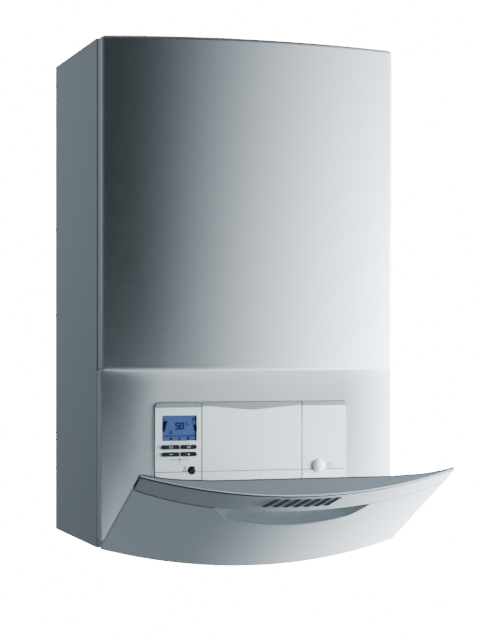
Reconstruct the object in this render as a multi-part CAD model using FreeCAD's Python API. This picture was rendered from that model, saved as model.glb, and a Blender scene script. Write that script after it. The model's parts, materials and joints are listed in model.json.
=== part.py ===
import FreeCAD, Part
import math
import os

# Wall-hung condensing gas boiler: bowed cover, control panel and an open bottom-hinged flap.
# Millimetres. X to the right, Y into the wall, Z up. The origin lies on the wall plane,
# midway between the two holes of the hanging bracket. Heights written h are above the casing's lower edge.

V = FreeCAD.Vector

# Casing
case_width = 440.0
front_room = 10.0             # fan to the line of the front corners
bow_depth = 33.0              # the cover's middle stands this far before the corner line
hang_drop = 70.0              # roof to the bracket holes
sheet = 1.2                   # casing steel
wall_gap = 12.0               # wall to back panel
fold = 14.0                   # folded edges of the casing sheets
panel_setback = 32.0          # front edge of the side panels behind the corner line
cover_setback = 27.0          # rear edge of the cover behind the corner line
cover_wall = 2.0
corner_radius = 9.0
lower_corner = 3.0            # upright corners beside the flap
seal_inset = 4.0              # the seal lies this far inside the casing's outline
seal_width = 8.0
fit = 0.3                     # clearance between separate pieces
running = 0.05                # radial clearance of turning pins and shafts
over = 1.0                    # cutting tools run past a face by this much

# Hanging bracket
bracket_length = 300.0
bracket_height = 44.0
bracket_plate = 3.0
bracket_hole_spacing = 220.0
bracket_hole_radius = 4.5
lip_height = 12.0
shelf_depth = 9.0

# Lower face of the cover and the ledge above it
lower_reach = 4.0             # the flat lower face stands this far before the corner line
lower_flat_inset = 4.0        # panel's side edges to the ends of the flat middle
lower_edge_back = 7.0         # its outer edges lie this far behind the corner line
cover_lift = 14.0             # lower edge of the cover above the casing's lower edge
lip_depth = 16.0
screw_spacing = 200.0
screw_radius = 2.0
screw_head_radius = 4.0
screw_head = 3.0
screw_length = 12.0

# Control flap
flap_angle = 62.0             # open as photographed, measured from upright
flap_gap = 1.0                # at the lower edge
flap_top_gap = 2.0            # to the ledge
flap_side_gap = 0.5
flap_wall = 3.0
flap_floor = 11.0             # solid lower edge
flap_reach = 8.8              # inner face before the corner line
flat_depth = 22.5             # depth of the bow where the flat middle of the inner face ends
shoulder_depth = 17.84        # depth of the bow where the thin wings start
wing_depth = 12.05            # depth of the bow where the wings become solid
wing_belly = 0.032            # hollow of the wings, as a share of their length
flap_shoulder_reach = 6.6
flap_edge_back = 5.5          # inner edge behind the corner line
liner_wall = 2.0
band_height = 50.0
band_joint = 0.6
band_lean = 1.5               # the band's top leans in by this much
cap_thickness = 2.5
grip_width = 220.0
grip_waist = 180.0
grip_shoulder = 32.0
grip_depth = 49.0
grip_wall = 2.0
grip_sink = 0.4
grip_bulge = 2.0
pivot_back = 3.0              # hinge axis behind the corner line
pivot_height = 5.0
pin_radius = 2.0
pin_slack = 0.02
ear_radius = 4.0
boss_radius = 3.6             # the flap's bosses round the pins
ear_thickness = 4.0
ear_inset = 22.0              # outer face of each ear from the casing's side

# Control panel
panel_width = 288.0
panel_height = 135.0
panel_bottom = 70.0
panel_drop = 45.0             # ledge to the panel's top
panel_proud = 0.8
panel_thickness = 3.8
panel_corner = 5.0
module_width = 68.5           # outer modules, to the joint with the middle one
seam_gap = 0.8
seam_rise = 37.0              # panel's lower edge to the seam line
seam_groove = 0.5
strip_left = 7.0
strip_right = 6.0
strip_end = 5.0
strip_middle = 11.0
strip_depth = 0.8
screen_width = 51.0
screen_height = 36.0
screen_inset = 10.0           # panel's left edge to the screen
screen_gap = 11.0             # strip to the screen
screen_sink = 0.6
key_inset = 9.5               # panel's left edge to the keys
key_width_left = 25.8
key_width_right = 23.7
key_gap = 2.1
key_height = 5.8
key_drop = 8.8                # screen to the upper keys
key_pitch = 10.2              # upper to lower keys
key_proud = 1.0
key_travel = 0.8
key_collar = 0.9
collar_thickness = 1.0
key_pocket = 1.8
key_bulge = 1.2
collar_gap = 0.1
reset_inset = 7.5             # keys' right end to the reset button
reset_drop = 23.0             # lower keys to the reset button
reset_radius = 5.9
reset_travel = 1.5
power_inset = 42.7            # panel's right edge to the power button
power_rise = 42.0             # panel's lower edge to the power button
power_radius = 9.0
power_proud = 3.0
power_dome = 1.4
power_travel = 3.0
plunger_radius = 1.6
housing_margin = 6.0
housing_wall = 2.0
housing_depth = 58.0
board_thickness = 1.6
board_margin = 4.0
post_height = 8.0
post_radius = 3.5
main_board_inset = 20.0
arm_height = 60.0
arm_thickness = 3.0
switch_depth = 14.0
switch_gap = 1.0              # panel's back to the key switches
switch_wall = 2.0

# Water, gas and flue side
beam_depth = 34.0
beam_section = 26.0
vessel_width = 350.0
vessel_drop = 50.0            # roof to the vessel
vessel_height = 270.0
vessel_depth = 56.0
vessel_edge = 18.0
vessel_wall = 2.0
drum_radius = 112.0
drum_wall = 3.0
drum_back = 90.0              # wall to the drum's rear face
drum_lift = 12.0              # beam to the drum's lowest point
drum_foot = 60.0
drum_flange = 9.0
flange_thickness = 5.0
coil_turns = 5
coil_radius = 88.0
coil_tube = 8.0               # half the tube's side
coil_pitch = 22.0
header_radius = 11.0
door_thickness = 12.0
door_seal_thickness = 2.0
door_dish = 85.0              # radius of the door's dish
door_bolts = 6
bolt_radius = 3.0
nut_width = 10.0
nut_sides = 6
nut_height = 5.0
burner_radius = 35.0
burner_length = 105.0
burner_wall = 1.5
port_radius = 26.0
electrode_radius = 2.0
electrode_length = 45.0
electrode_offset = 58.0
electrode_pitch = 12.0
electrode_clip = 20.0
fan_side = 124.0              # casing's side to the fan's axis
fan_drop = 10.0               # fan axis below the drum's axis
fan_radius = 62.0
fan_growth = 14.0             # the scroll widens by this much over a turn
scroll_steps = 6
scroll_angle = 45.0           # turn from step to step
fan_depth = 44.0
fan_stand = 7.0               # port boss that holds the fan clear of the nuts
fan_wall = 3.0
fan_duct = 50.0
fan_inlet = 26.0
impeller_radius = 50.0
impeller_width = 28.0
impeller_blades = 10
blade_thickness = 2.0
blade_curl = 60.0             # bend of a blade, shared out over the blades
shaft_radius = 4.0
motor_radius = 36.0
motor_length = 22.0
flue_radius = 30.2            # takes a 60 mm flue pipe
flue_wall = 1.8
flue_stop = 1.2               # shoulder that stops the flue pipe
flue_y = 150.0                # wall to the flue's axis
spigot_height = 26.0
flue_run = 70.0               # drum's spigot to the roof
adapter_radius = 50.2         # takes a 100 mm air pipe
adapter_rise = 24.0
adapter_flange = 66.0
adapter_plate = 3.0
adapter_spokes = 3
spoke_turn = 30.0
spoke_height = 8.0
stub_drop = 26.0              # stubs below the casing
heating_stub = 11.0           # 22 mm pipe
water_stub = 7.5              # 15 mm pipe
stub_wall = 1.2
nut_drop = 6.0                # lock nuts under the floor sheet
nut_flange = 4.0
stub_y = 105.0                # wall to the water stubs
heating_x = 130.0
water_x = 65.0
block_inner = 48.0
block_height = 88.0
block_depth = 84.0
block_edge = 10.0
plate_count = 9
plate_groove = 2.0
plate_height = 70.0
plate_depth = 58.0
plate_lift = 14.0             # plates above the floor sheet
pump_radius = 44.0
volute_depth = 40.0
pump_motor_length = 72.0
pump_motor_radius = 42.0
pump_grooves = 2
pump_lift = 54.0              # pump axis above the block
pump_impeller_radius = 30.0
pump_impeller_width = 14.0
pump_blades = 6
pump_cavity = 22.0
pump_neck = 15.0
diverter_gap = 12.5           # flow pipe to the diverter motor
diverter_radius = 20.0
diverter_length = 56.0
diverter_stem = 3.0
diverter_disc = 9.0
diverter_stroke = 8.0
seat_gap = 1.0                # bore round the diverter disc
stem_length = 60.0
relief_x = 92.0
relief_radius = 13.0
relief_length = 34.0
relief_neck = 9.1
pipe_radius = 9.0
pipe_wall = 1.0
pipe_bend = 32.0
vessel_pipe_radius = 6.0
vessel_pipe_x = 150.0
vessel_pipe_y = 42.0
vessel_pipe_inset = 9.0       # block's rear edge to the pipe's axis
valve_lug = 24.0
gas_step = 60.0
gas_clear = 31.5              # pump to the gas pipe's cross run
gas_rise = 68.3               # cross run to the gas valve
feed_start = 21.3             # straight run above the gas valve
feed_end = 28.4               # straight run below the fan
slant = 80.0                  # height over which a pipe steps aside
coil_port_x = 62.0
port_gap = 8.0                # drum's ports to the cross beam
coil_port_radius = 13.0
coil_port_drop = 10.0
gas_radius = 7.5
gas_gap = 18.0                # plates to the gas pipe's axis
valve_x = 152.0
valve_y = 196.0
valve_clear = 7.0             # gas valve below the cross beam
valve_height = 70.0
valve_width = 50.0
valve_depth = 56.0
valve_cap_radius = 15.0
valve_cap_height = 14.0
siphon_inset = 34.0           # drum's front to the siphon's axis
siphon_gap = 13.5             # gas pipe to the siphon
siphon_radius = 23.0
siphon_length = 150.0
siphon_neck = 10.0
siphon_neck_length = 32.0
drain_radius = 10.5
gland_radius = 7.0            # hole for the mains lead's gland
gland_x = 180.0
gland_y = 230.0

gas_y = stub_y + plate_depth / 2 + gas_gap
siphon_y = gas_y + gas_radius + siphon_gap + siphon_radius
drum_length = siphon_y + siphon_inset - drum_back
side_depth = (drum_back + drum_length + door_seal_thickness + door_thickness + fan_stand + fan_depth
              + front_room)
coil_port_y = drum_back + drum_length / 2 - beam_depth / 2 - port_gap - coil_port_radius
flow_x = (heating_x + water_x) / 2 + pipe_radius
diverter_x = flow_x + pipe_radius + diverter_gap + diverter_radius
block_outer = diverter_x + diverter_radius
block_top = sheet + block_height
pump_axis = block_top + pump_lift
gas_run = pump_axis + pump_motor_radius + gas_clear
valve_bottom = gas_run + gas_rise
beam_height = valve_bottom + valve_height + valve_clear + beam_section
drum_axis = beam_height + drum_lift + drum_radius
case_height = drum_axis + drum_radius + spigot_height + flue_run
hang_height = case_height - hang_drop
vessel_bottom = case_height - vessel_drop - vessel_height
half_width = case_width / 2
fan_x = half_width - fan_side
corner_y = -side_depth
panel_half = panel_width / 2
seam_half = panel_half - module_width
screen_left = -panel_half + screen_inset
screen_right = screen_left + screen_width
key_left = -panel_half + key_inset
key_split = key_left + key_width_left
key_right = key_split + key_gap + key_width_right
reset_x = key_right - reset_inset
power_x = panel_half - power_inset
panel_top = panel_bottom + panel_height
ledge_height = panel_top + panel_drop
screen_high = panel_top - strip_left - screen_gap
screen_low = screen_high - screen_height
key_upper = screen_low - key_drop
key_lower = key_upper - key_pitch
reset_height = key_lower - reset_drop
power_height = panel_bottom + power_rise
seam_height = panel_bottom + seam_rise
panel_edge_y = -(side_depth - panel_setback)
cover_edge_y = -(side_depth - cover_setback)
back_y = -wall_gap
inner_half = half_width - sheet
bow_radius = (half_width ** 2 + bow_depth ** 2) / (2 * bow_depth)
bow_centre_y = corner_y - bow_depth + bow_radius
lower_y = corner_y - lower_reach
panel_y = lower_y - panel_proud
panel_back_y = panel_y + panel_thickness
flap_half = half_width - flap_side_gap
flap_top = ledge_height - flap_top_gap
flap_inner_y = corner_y - flap_reach
pivot_y = corner_y + pivot_back
drum_back_y = -drum_back
drum_front_y = drum_back_y - drum_length
door_back_y = drum_front_y - door_seal_thickness
door_front_y = door_back_y - door_thickness
fan_axis = drum_axis - fan_drop
fan_back_y = door_front_y - fan_stand
fan_front_y = fan_back_y - fan_depth

nodes = {}


# Helpers

def up(height):
    return height - hang_height


def box(x0, x1, y0, y1, h0, h1):
    low = V(min(x0, x1), min(y0, y1), up(min(h0, h1)))
    return Part.makeBox(abs(x1 - x0), abs(y1 - y0), abs(h1 - h0), low)


def rod_x(y, h, x0, x1, radius):
    return Part.makeCylinder(radius, abs(x1 - x0), V(min(x0, x1), y, up(h)), V(1, 0, 0))


def rod_y(x, h, y0, y1, radius):
    return Part.makeCylinder(radius, abs(y1 - y0), V(x, min(y0, y1), up(h)), V(0, 1, 0))


def rod_z(x, y, h0, h1, radius):
    return Part.makeCylinder(radius, abs(h1 - h0), V(x, y, up(min(h0, h1))), V(0, 0, 1))


def tube_z(x, y, h0, h1, radius, wall):
    return rod_z(x, y, h0, h1, radius + wall).cut(rod_z(x, y, h0, h1, radius))


def line(a, b):
    return Part.LineSegment(a, b).toShape()


def arc(a, b, c):
    return Part.Arc(a, b, c).toShape()


def loop(edges):
    return Part.Wire(Part.__sortEdges__(edges))


def prism(edges, push):
    return Part.Face(loop(edges)).extrude(push)


def fuse(shapes):
    whole = shapes[0].multiFuse(shapes[1:])
    return whole.removeSplitter()


def group(shapes):
    return Part.makeCompound(shapes)


def mirror(shape):
    return shape.mirror(V(0, 0, 0), V(1, 0, 0))


def bow_y(x, inset=0.0):
    return bow_centre_y - math.sqrt((bow_radius - inset) ** 2 - x * x)


def bow_x(depth):
    """Half the width over which the bow stands at least this deep before the corner line."""
    return math.sqrt(bow_radius ** 2 - (bow_radius - bow_depth + depth) ** 2)


def bow_arc(half, inset, h):
    ends = bow_y(half, inset)
    return arc(V(-half, ends, up(h)), V(0, bow_y(0, inset), up(h)), V(half, ends, up(h)))


def upright_edges(shape, x, y, reach):
    chosen = []
    for edge in shape.Edges:
        ends = [vertex.Point for vertex in edge.Vertexes]
        if len(ends) == 2 and abs(ends[0].x - ends[1].x) < fit and abs(ends[0].y - ends[1].y) < fit:
            if abs(abs(ends[0].x) - x) < reach and abs(ends[0].y - y) < reach:
                chosen.append(edge)
    return chosen


def pipe(points, radius, wall, bend):
    """A round tube along straight runs joined by tangent bends."""
    pieces = []
    start = points[0]

    def ring(place, heading):
        outer = Part.Face(Part.Wire(Part.makeCircle(radius, place, heading)))
        return outer.cut(Part.Face(Part.Wire(Part.makeCircle(radius - wall, place, heading))))

    for before, here, after in zip(points, points[1:], points[2:]):
        way_in = (here - before).normalize()
        way_out = (after - here).normalize()
        turn = way_in.getAngle(way_out)
        trim = bend * math.tan(turn / 2)
        enter = here - way_in * trim
        pieces.append(ring(start, way_in).extrude(enter - start))
        hinge = way_in.cross(way_out).normalize()
        centre = enter + hinge.cross(way_in) * bend
        pieces.append(ring(enter, way_in).revolve(centre, hinge, math.degrees(turn)))
        start = here + way_out * trim
    pieces.append(ring(start, points[-1] - start).extrude(points[-1] - start))
    return pieces[0].multiFuse(pieces[1:])


def at(x, y, h):
    return V(x, y, up(h))


# Casing sheets and the wall bracket

def hanging_bracket():
    top = hang_height + bracket_height / 2
    half = bracket_length / 2
    plate = box(-half, half, 0, -bracket_plate, hang_height - bracket_height / 2, top)
    shelf = box(-half, half, 0, -shelf_depth, top - bracket_plate, top)
    lip = box(-half, half, bracket_plate - shelf_depth, -shelf_depth, top, top + lip_height)
    bracket = fuse([plate, shelf, lip])
    for side in (-1, 1):
        x = side * bracket_hole_spacing / 2
        bracket = bracket.cut(rod_y(x, hang_height, -wall_gap, over, bracket_hole_radius))
    return bracket


def back_panel():
    tray = box(-inner_half, inner_half, back_y, back_y - sheet - fold, sheet, case_height - sheet)
    hollow = box(-inner_half + sheet, inner_half - sheet, back_y - sheet, panel_edge_y,
                 2 * sheet, case_height - 2 * sheet)
    lip_top = hang_height + bracket_height / 2 + lip_height
    half = bracket_length / 2 - fold
    hook = box(-half, half, back_y, -bracket_plate - fit, lip_top, lip_top + bracket_plate)
    tongue = box(-half, half, -bracket_plate - fit, -2 * bracket_plate + fit,
                 lip_top - lip_height / 2, lip_top)
    return fuse([tray.cut(hollow), hook, tongue])


def side_panel():
    skin = box(inner_half, half_width, 0, panel_edge_y, 0, case_height)
    front = box(inner_half - fold, inner_half, panel_edge_y, panel_edge_y + sheet, sheet, case_height - sheet)
    return fuse([skin, front])


def top_panel():
    skin = box(-inner_half, inner_half, back_y, panel_edge_y, case_height - sheet, case_height)
    half = inner_half - fold
    front = box(-half, half, panel_edge_y, panel_edge_y + sheet,
                case_height - sheet - fold, case_height - sheet)
    return fuse([skin, front]).cut(rod_z(0, -flue_y, 0, case_height + over, adapter_radius))


def bottom_plate():
    half = inner_half - fold
    skin = box(-inner_half, inner_half, back_y, panel_edge_y + sheet, 0, sheet)
    front = box(-half, half, panel_edge_y, panel_edge_y + sheet, 0, cover_lift)
    plate = fuse([skin, front])
    for side in (-1, 1):
        x = side * screw_spacing / 2
        tab = box(x - fold, x + fold, panel_edge_y + sheet, cover_edge_y - lip_depth + over,
                  cover_lift - sheet, cover_lift)
        plate = plate.fuse(tab).cut(rod_z(x, screw_y(), 0, cover_lift + over, screw_radius + fit))
    for x, y, radius in floor_holes():
        plate = plate.cut(rod_z(x, y, -over, sheet + over, radius + fit))
    return plate.removeSplitter()


def screw_y():
    return cover_edge_y - lip_depth / 2


def floor_holes():
    return [(-heating_x, -stub_y, heating_stub), (-water_x, -stub_y, water_stub),
            (water_x, -stub_y, water_stub), (heating_x, -stub_y, heating_stub),
            (0, -gas_y, gas_radius), (0, -siphon_y, drain_radius), (gland_x, -gland_y, gland_radius)]


def upper_body(inset, h0, h1):
    half = half_width - inset
    front = bow_y(half, inset)
    edges = [bow_arc(half, inset, h0), line(at(-half, front, h0), at(-half, cover_edge_y, h0)),
             line(at(-half, cover_edge_y, h0), at(half, cover_edge_y, h0)),
             line(at(half, cover_edge_y, h0), at(half, front, h0))]
    body = prism(edges, V(0, 0, h1 - h0))
    radius = corner_radius - inset
    return body.makeFillet(radius, upright_edges(body, half, front, radius))


def lower_front(inset, h):
    """Lower face of the cover in plan: flat in the middle, swept back at both ends."""
    flat = panel_half - lower_flat_inset
    middle = lower_y + inset
    half = half_width - inset
    drop = lower_reach + lower_edge_back
    radius = ((half_width - flat) ** 2 + drop ** 2) / (2 * drop) - inset

    def sweep(x):
        return middle + radius - math.sqrt(radius ** 2 - (x - flat) ** 2)

    between = (half + flat) / 2
    edges = [line(at(-flat, middle, h), at(flat, middle, h))]
    for side in (-1, 1):
        edges.append(arc(at(side * flat, middle, h), at(side * between, sweep(between), h),
                         at(side * half, sweep(half), h)))
    return edges, half, sweep(half)


def lower_body(inset, h0, h1):
    edges, half, front = lower_front(inset, h0)
    edges += [line(at(-half, front, h0), at(-half, cover_edge_y, h0)),
              line(at(-half, cover_edge_y, h0), at(half, cover_edge_y, h0)),
              line(at(half, cover_edge_y, h0), at(half, front, h0))]
    body = prism(edges, V(0, 0, h1 - h0))
    radius = lower_corner - inset
    return body.makeFillet(radius, upright_edges(body, half, front, radius))


def front_cover():
    outside = fuse([upper_body(0, ledge_height, case_height), lower_body(0, cover_lift, ledge_height)])
    inside = [upper_body(cover_wall, ledge_height + cover_wall, case_height - cover_wall),
              lower_body(cover_wall, cover_lift - over, ledge_height + 2 * cover_wall)]
    shell = outside.cut(inside[0]).cut(inside[1])
    half = half_width - cover_wall
    rim = box(-half, half, cover_edge_y, cover_edge_y - cover_wall, cover_lift, case_height - cover_wall)
    inner = half - fold
    rim = rim.cut(box(-inner, inner, panel_edge_y, lower_y, cover_lift + fold,
                      case_height - cover_wall - fold))
    lip = box(-half, half, cover_edge_y, cover_edge_y - lip_depth, cover_lift, cover_lift + cover_wall)
    shell = fuse([shell, rim, lip])
    opening = panel_half + fit
    shell = shell.cut(box(-opening, opening, panel_back_y, lower_y - over,
                          panel_bottom - fit, panel_top + fit))
    for side in (-1, 1):
        shell = shell.cut(rod_z(side * screw_spacing / 2, screw_y(), 0, cover_lift + fold, screw_radius))
    return shell


def cover_seal():
    half = half_width - seal_inset
    top = case_height - seal_inset
    outer = box(-half, half, panel_edge_y, cover_edge_y, cover_lift, top)
    inner = half - seal_width
    return outer.cut(box(-inner, inner, panel_edge_y + over, cover_edge_y - over,
                         cover_lift + seal_width, top - seal_width))


def cover_screws():
    screws = []
    for side in (-1, 1):
        x = side * screw_spacing / 2
        under = cover_lift - sheet
        head = rod_z(x, screw_y(), under - screw_head, under, screw_head_radius)
        shank = rod_z(x, screw_y(), under, under + screw_length, screw_radius)
        screws.append(fuse([head, shank]))
    return group(screws)


nodes["hanging_bracket"] = hanging_bracket()
nodes["back_panel"] = back_panel()
nodes["right_side_panel"] = side_panel()
nodes["left_side_panel"] = mirror(side_panel())
nodes["top_panel"] = top_panel()
nodes["bottom_plate"] = bottom_plate()
nodes["front_cover"] = front_cover()
nodes["cover_seal"] = cover_seal()
nodes["cover_screws"] = cover_screws()


# Control flap, drawn shut and then swung open about its pins

def swing(shape):
    turned = shape.copy()
    turned.rotate(at(0, pivot_y, pivot_height), V(1, 0, 0), flap_angle)
    return turned


def flap_inner_edges(shift, h):
    """Inner face in plan: flat middle, sloped shoulders and thin curved wings."""
    flat = bow_x(flat_depth)
    shoulder = bow_x(shoulder_depth)
    shoulder_y = corner_y - flap_shoulder_reach
    end_y = corner_y + flap_edge_back
    between = (shoulder + flap_half) / 2
    belly = (shoulder_y + end_y) / 2 - (flap_half - shoulder) * wing_belly
    edges = [line(at(-flat, flap_inner_y + shift, h), at(flat, flap_inner_y + shift, h))]
    for side in (-1, 1):
        edges.append(line(at(side * flat, flap_inner_y + shift, h),
                          at(side * shoulder, shoulder_y + shift, h)))
        edges.append(arc(at(side * shoulder, shoulder_y + shift, h), at(side * between, belly + shift, h),
                         at(side * flap_half, end_y + shift, h)))
    return edges, end_y + shift


def flap_wire(inset, h):
    """Closed outline of the flap in plan, its bowed front set back by inset."""
    edges, end_y = flap_inner_edges(0, h)
    front = bow_y(flap_half, inset)
    edges += [bow_arc(flap_half, inset, h), line(at(-flap_half, front, h), at(-flap_half, end_y, h)),
              line(at(flap_half, front, h), at(flap_half, end_y, h))]
    return loop(edges)


def flap_block(inset, h0, h1):
    return Part.Face(flap_wire(inset, h0)).extrude(V(0, 0, h1 - h0))


def behind_bow(inset, half, h0, h1):
    """Everything from the bow, set back by inset, to the corner line."""
    front = bow_y(half, inset)
    edges = [bow_arc(half, inset, h0), line(at(-half, corner_y, h0), at(half, corner_y, h0))]
    edges += [line(at(side * half, front, h0), at(side * half, corner_y, h0)) for side in (-1, 1)]
    return prism(edges, V(0, 0, h1 - h0))


def band_block(inset, h0, h1):
    return Part.makeLoft([flap_wire(inset, h0), flap_wire(inset + band_lean, h1)], True, True)


band_bottom = flap_top - band_height
inside_half = flap_half - flap_wall
wing_start = bow_x(wing_depth)


def grip_outline(inset, y):
    """Outline of the grip's cut-out, drawn in by inset all round."""
    top = band_bottom
    wide = grip_width / 2
    waist = grip_waist / 2
    hip = top - grip_shoulder
    low = top - grip_depth
    bend_x = (wide + waist) / 2 + grip_bulge
    bend_h = (top + hip) / 2
    edges = [line(at(-wide, y, top), at(wide, y, top)),
             arc(at(-waist, y, hip), at(0, y, low), at(waist, y, hip))]
    for side in (-1, 1):
        edges.append(arc(at(side * wide, y, top), at(side * bend_x, y, bend_h), at(side * waist, y, hip)))
    outline = loop(edges)
    if inset > 0:
        outline = outline.makeOffset2D(-inset)
    return Part.Face(outline)


def flap_panel():
    bottom = flap_gap
    body = flap_block(0, bottom, band_bottom)
    body = body.cut(behind_bow(flap_wall, wing_start, bottom + flap_floor, band_bottom + over))
    boss_inner = half_width - ear_inset + fit
    for side in (-1, 1):
        boss = rod_x(pivot_y, pivot_height, side * boss_inner, side * inside_half, boss_radius)
        ear_outer = half_width - ear_inset + 2 * fit
        ear_inner = half_width - ear_inset - ear_thickness - 2 * fit
        body = body.cut(rod_x(pivot_y, pivot_height, side * ear_inner, side * ear_outer,
                              ear_radius + 2 * fit))
        body = body.fuse(boss).cut(rod_x(pivot_y, pivot_height, side * boss_inner, side * inside_half,
                                         pin_radius + pin_slack))
    front = corner_y - 2 * bow_depth
    return body.cut(grip_outline(0, front).extrude(V(0, 2 * bow_depth - flap_reach, 0)))


def flap_band():
    body = band_block(0, band_bottom + band_joint, flap_top)
    hollow = behind_bow(flap_wall, wing_start, band_bottom, flap_top - flap_wall)
    ends = flap_half - cap_thickness
    reach = box(-ends, ends, 0, corner_y - 2 * bow_depth, band_bottom, flap_top)
    return body.common(reach).cut(hollow)


def band_end_caps():
    body = band_block(0, band_bottom + band_joint, flap_top)
    caps = []
    for side in (-1, 1):
        caps.append(body.common(box(side * (flap_half - cap_thickness), side * flap_half, 0,
                                    corner_y - 2 * bow_depth, band_bottom, flap_top)))
    return group(caps)


def flap_liner():
    low = flap_gap + flap_floor
    outer, outer_y = flap_inner_edges(-liner_wall, low)
    inner, inner_y = flap_inner_edges(0, low)
    ends = [line(at(side * flap_half, inner_y, low), at(side * flap_half, outer_y, low)) for side in (-1, 1)]
    sheet_body = prism(outer + inner + ends, V(0, 0, flap_top - flap_wall - low))
    half = wing_start - fit
    return sheet_body.common(box(-half, half, 0, corner_y - 2 * bow_depth, low, flap_top))


def grip_insert():
    floor_y = flap_inner_y - liner_wall
    front = corner_y - 2 * bow_depth
    body = grip_outline(fit, floor_y).extrude(V(0, front - floor_y, 0))
    body = body.common(behind_bow(grip_sink, wing_start, flap_gap, flap_top))
    scoop = grip_outline(fit + grip_wall, floor_y - grip_wall).extrude(V(0, front - floor_y, 0))
    return body.cut(scoop)


def flap_hinge_pins():
    outer = inside_half
    inner = half_width - ear_inset - ear_thickness - 2 * fit
    return group([rod_x(pivot_y, pivot_height, side * inner, side * outer, pin_radius) for side in (-1, 1)])


def flap_hinge_ears():
    outer = half_width - ear_inset
    inner = outer - ear_thickness
    ears = []
    for side in (-1, 1):
        tip = rod_x(pivot_y, pivot_height, side * inner, side * outer, ear_radius)
        arm = box(side * inner, side * outer, pivot_y, panel_edge_y,
                  pivot_height - ear_radius, pivot_height + ear_radius)
        hole = rod_x(pivot_y, pivot_height, side * inner, side * outer, pin_radius + running)
        ears.append(fuse([tip, arm]).cut(hole))
    return group(ears)


nodes["flap_panel"] = swing(flap_panel())
nodes["flap_band"] = swing(flap_band())
nodes["band_end_caps"] = swing(band_end_caps())
nodes["flap_liner"] = swing(flap_liner())
nodes["grip_insert"] = swing(grip_insert())
nodes["flap_hinge_pins"] = swing(flap_hinge_pins())
nodes["flap_hinge_ears"] = flap_hinge_ears()


# Control panel behind the flap

housing_half = panel_half + housing_margin
housing_low = panel_bottom - housing_margin
housing_high = panel_top + housing_margin
housing_back_y = panel_back_y + housing_depth
pocket_y = panel_back_y - key_pocket
collar_y = pocket_y + collar_gap
key_rows = {"upper": key_upper, "lower": key_lower}
board_left = key_left - board_margin
board_right = key_right + board_margin
board_low = reset_height - reset_radius - board_margin
board_high = screen_high + board_margin


def electronics_housing():
    body = box(-housing_half, housing_half, panel_back_y, housing_back_y, housing_low, housing_high)
    hollow = box(-housing_half + housing_wall, housing_half - housing_wall,
                 panel_back_y + housing_wall, housing_back_y - housing_wall,
                 housing_low + housing_wall, housing_high - housing_wall)
    body = body.cut(hollow)
    body = body.cut(box(board_left + board_margin / 2, board_right - board_margin / 2, panel_back_y - over,
                        panel_back_y + housing_wall, board_low + board_margin / 2,
                        board_high - board_margin / 2))
    body = body.cut(rod_y(power_x, power_height, panel_back_y - over, panel_back_y + housing_wall,
                          power_radius + key_collar + 2 * fit))
    pieces = [body]
    middle = (housing_low + housing_high) / 2
    for side in (-1, 1):
        pieces.append(box(side * (housing_half - housing_wall), side * inner_half,
                          housing_back_y, housing_back_y - arm_thickness,
                          middle - arm_height / 2, middle + arm_height / 2))
        for h in (housing_low + main_board_inset + post_radius,
                  housing_high - main_board_inset - post_radius):
            x = side * (housing_half - main_board_inset - post_radius)
            pieces.append(rod_y(x, h, housing_back_y - housing_wall,
                                housing_back_y - housing_wall - post_height, post_radius))
    return fuse(pieces)


def main_board():
    half = housing_half - main_board_inset
    y = housing_back_y - housing_wall - post_height
    return box(-half, half, y, y - board_thickness, housing_low + main_board_inset,
               housing_high - main_board_inset)


def display_board():
    y = panel_back_y + housing_wall
    return box(board_left, board_right, y, y + board_thickness, board_low, board_high)


def panel_module(x0, x1):
    body = box(x0, x1, panel_y, panel_back_y, panel_bottom, panel_top)
    groove = box(x0, x1, panel_y, panel_y + seam_groove, seam_height - seam_groove / 2,
                 seam_height + seam_groove / 2)
    return body.cut(groove)


def rounded_top(body, x):
    corner = [edge for edge in body.Edges
              if all(abs(v.X - x) < fit and abs(v.Z - up(panel_top)) < fit for v in edge.Vertexes)]
    return body.makeFillet(panel_corner, corner)


def key_outline(round_x, flat_x, h, grow, y):
    """Pill-shaped key: a round outer end and a gently bowed inner end."""
    side = 1 if flat_x > round_x else -1
    half = key_height / 2 + grow
    outer = round_x - side * grow
    inner = flat_x + side * grow
    bend = outer + side * half
    rim = inner - side * (key_bulge + grow / 2)
    return [line(at(bend, y, h - half), at(rim, y, h - half)),
            line(at(bend, y, h + half), at(rim, y, h + half)),
            arc(at(bend, y, h - half), at(outer, y, h), at(bend, y, h + half)),
            arc(at(rim, y, h - half), at(inner, y, h), at(rim, y, h + half))]


def key_spans():
    return {"left": (key_left, key_split), "right": (key_right, key_split + key_gap)}


def panel_key(side, row):
    x0, x1 = key_spans()[side]
    h = key_rows[row]
    cap = prism(key_outline(x0, x1, h, 0, panel_y - key_proud), V(0, collar_y - panel_y + key_proud, 0))
    collar = prism(key_outline(x0, x1, h, key_collar, collar_y), V(0, collar_thickness, 0))
    plunger = rod_y((x0 + x1) / 2, h, collar_y + collar_thickness, switch_y() - key_travel - running,
                    plunger_radius)
    return fuse([cap, collar, plunger])


def switch_y():
    """Front of the key switches, just behind the pressed keys."""
    return panel_back_y + switch_gap


def round_button(x, h, radius, proud, dome, stop_y):
    cap = rod_y(x, h, panel_y - proud + dome, collar_y, radius)
    ball = (radius ** 2 + dome ** 2) / (2 * dome)
    front = Part.makeSphere(ball, at(x, panel_y - proud + ball, h))
    front = front.common(rod_y(x, h, panel_y - proud - over, panel_y - proud + dome, radius))
    collar = rod_y(x, h, collar_y, collar_y + collar_thickness, radius + key_collar)
    plunger = rod_y(x, h, collar_y + collar_thickness, stop_y, plunger_radius)
    return fuse([cap, front, collar, plunger])


def button_hole(x, h, radius):
    hole = rod_y(x, h, panel_y - over, panel_back_y + over, radius + fit)
    pocket = rod_y(x, h, pocket_y, panel_back_y + over, radius + key_collar + fit)
    return hole.fuse(pocket)


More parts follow.
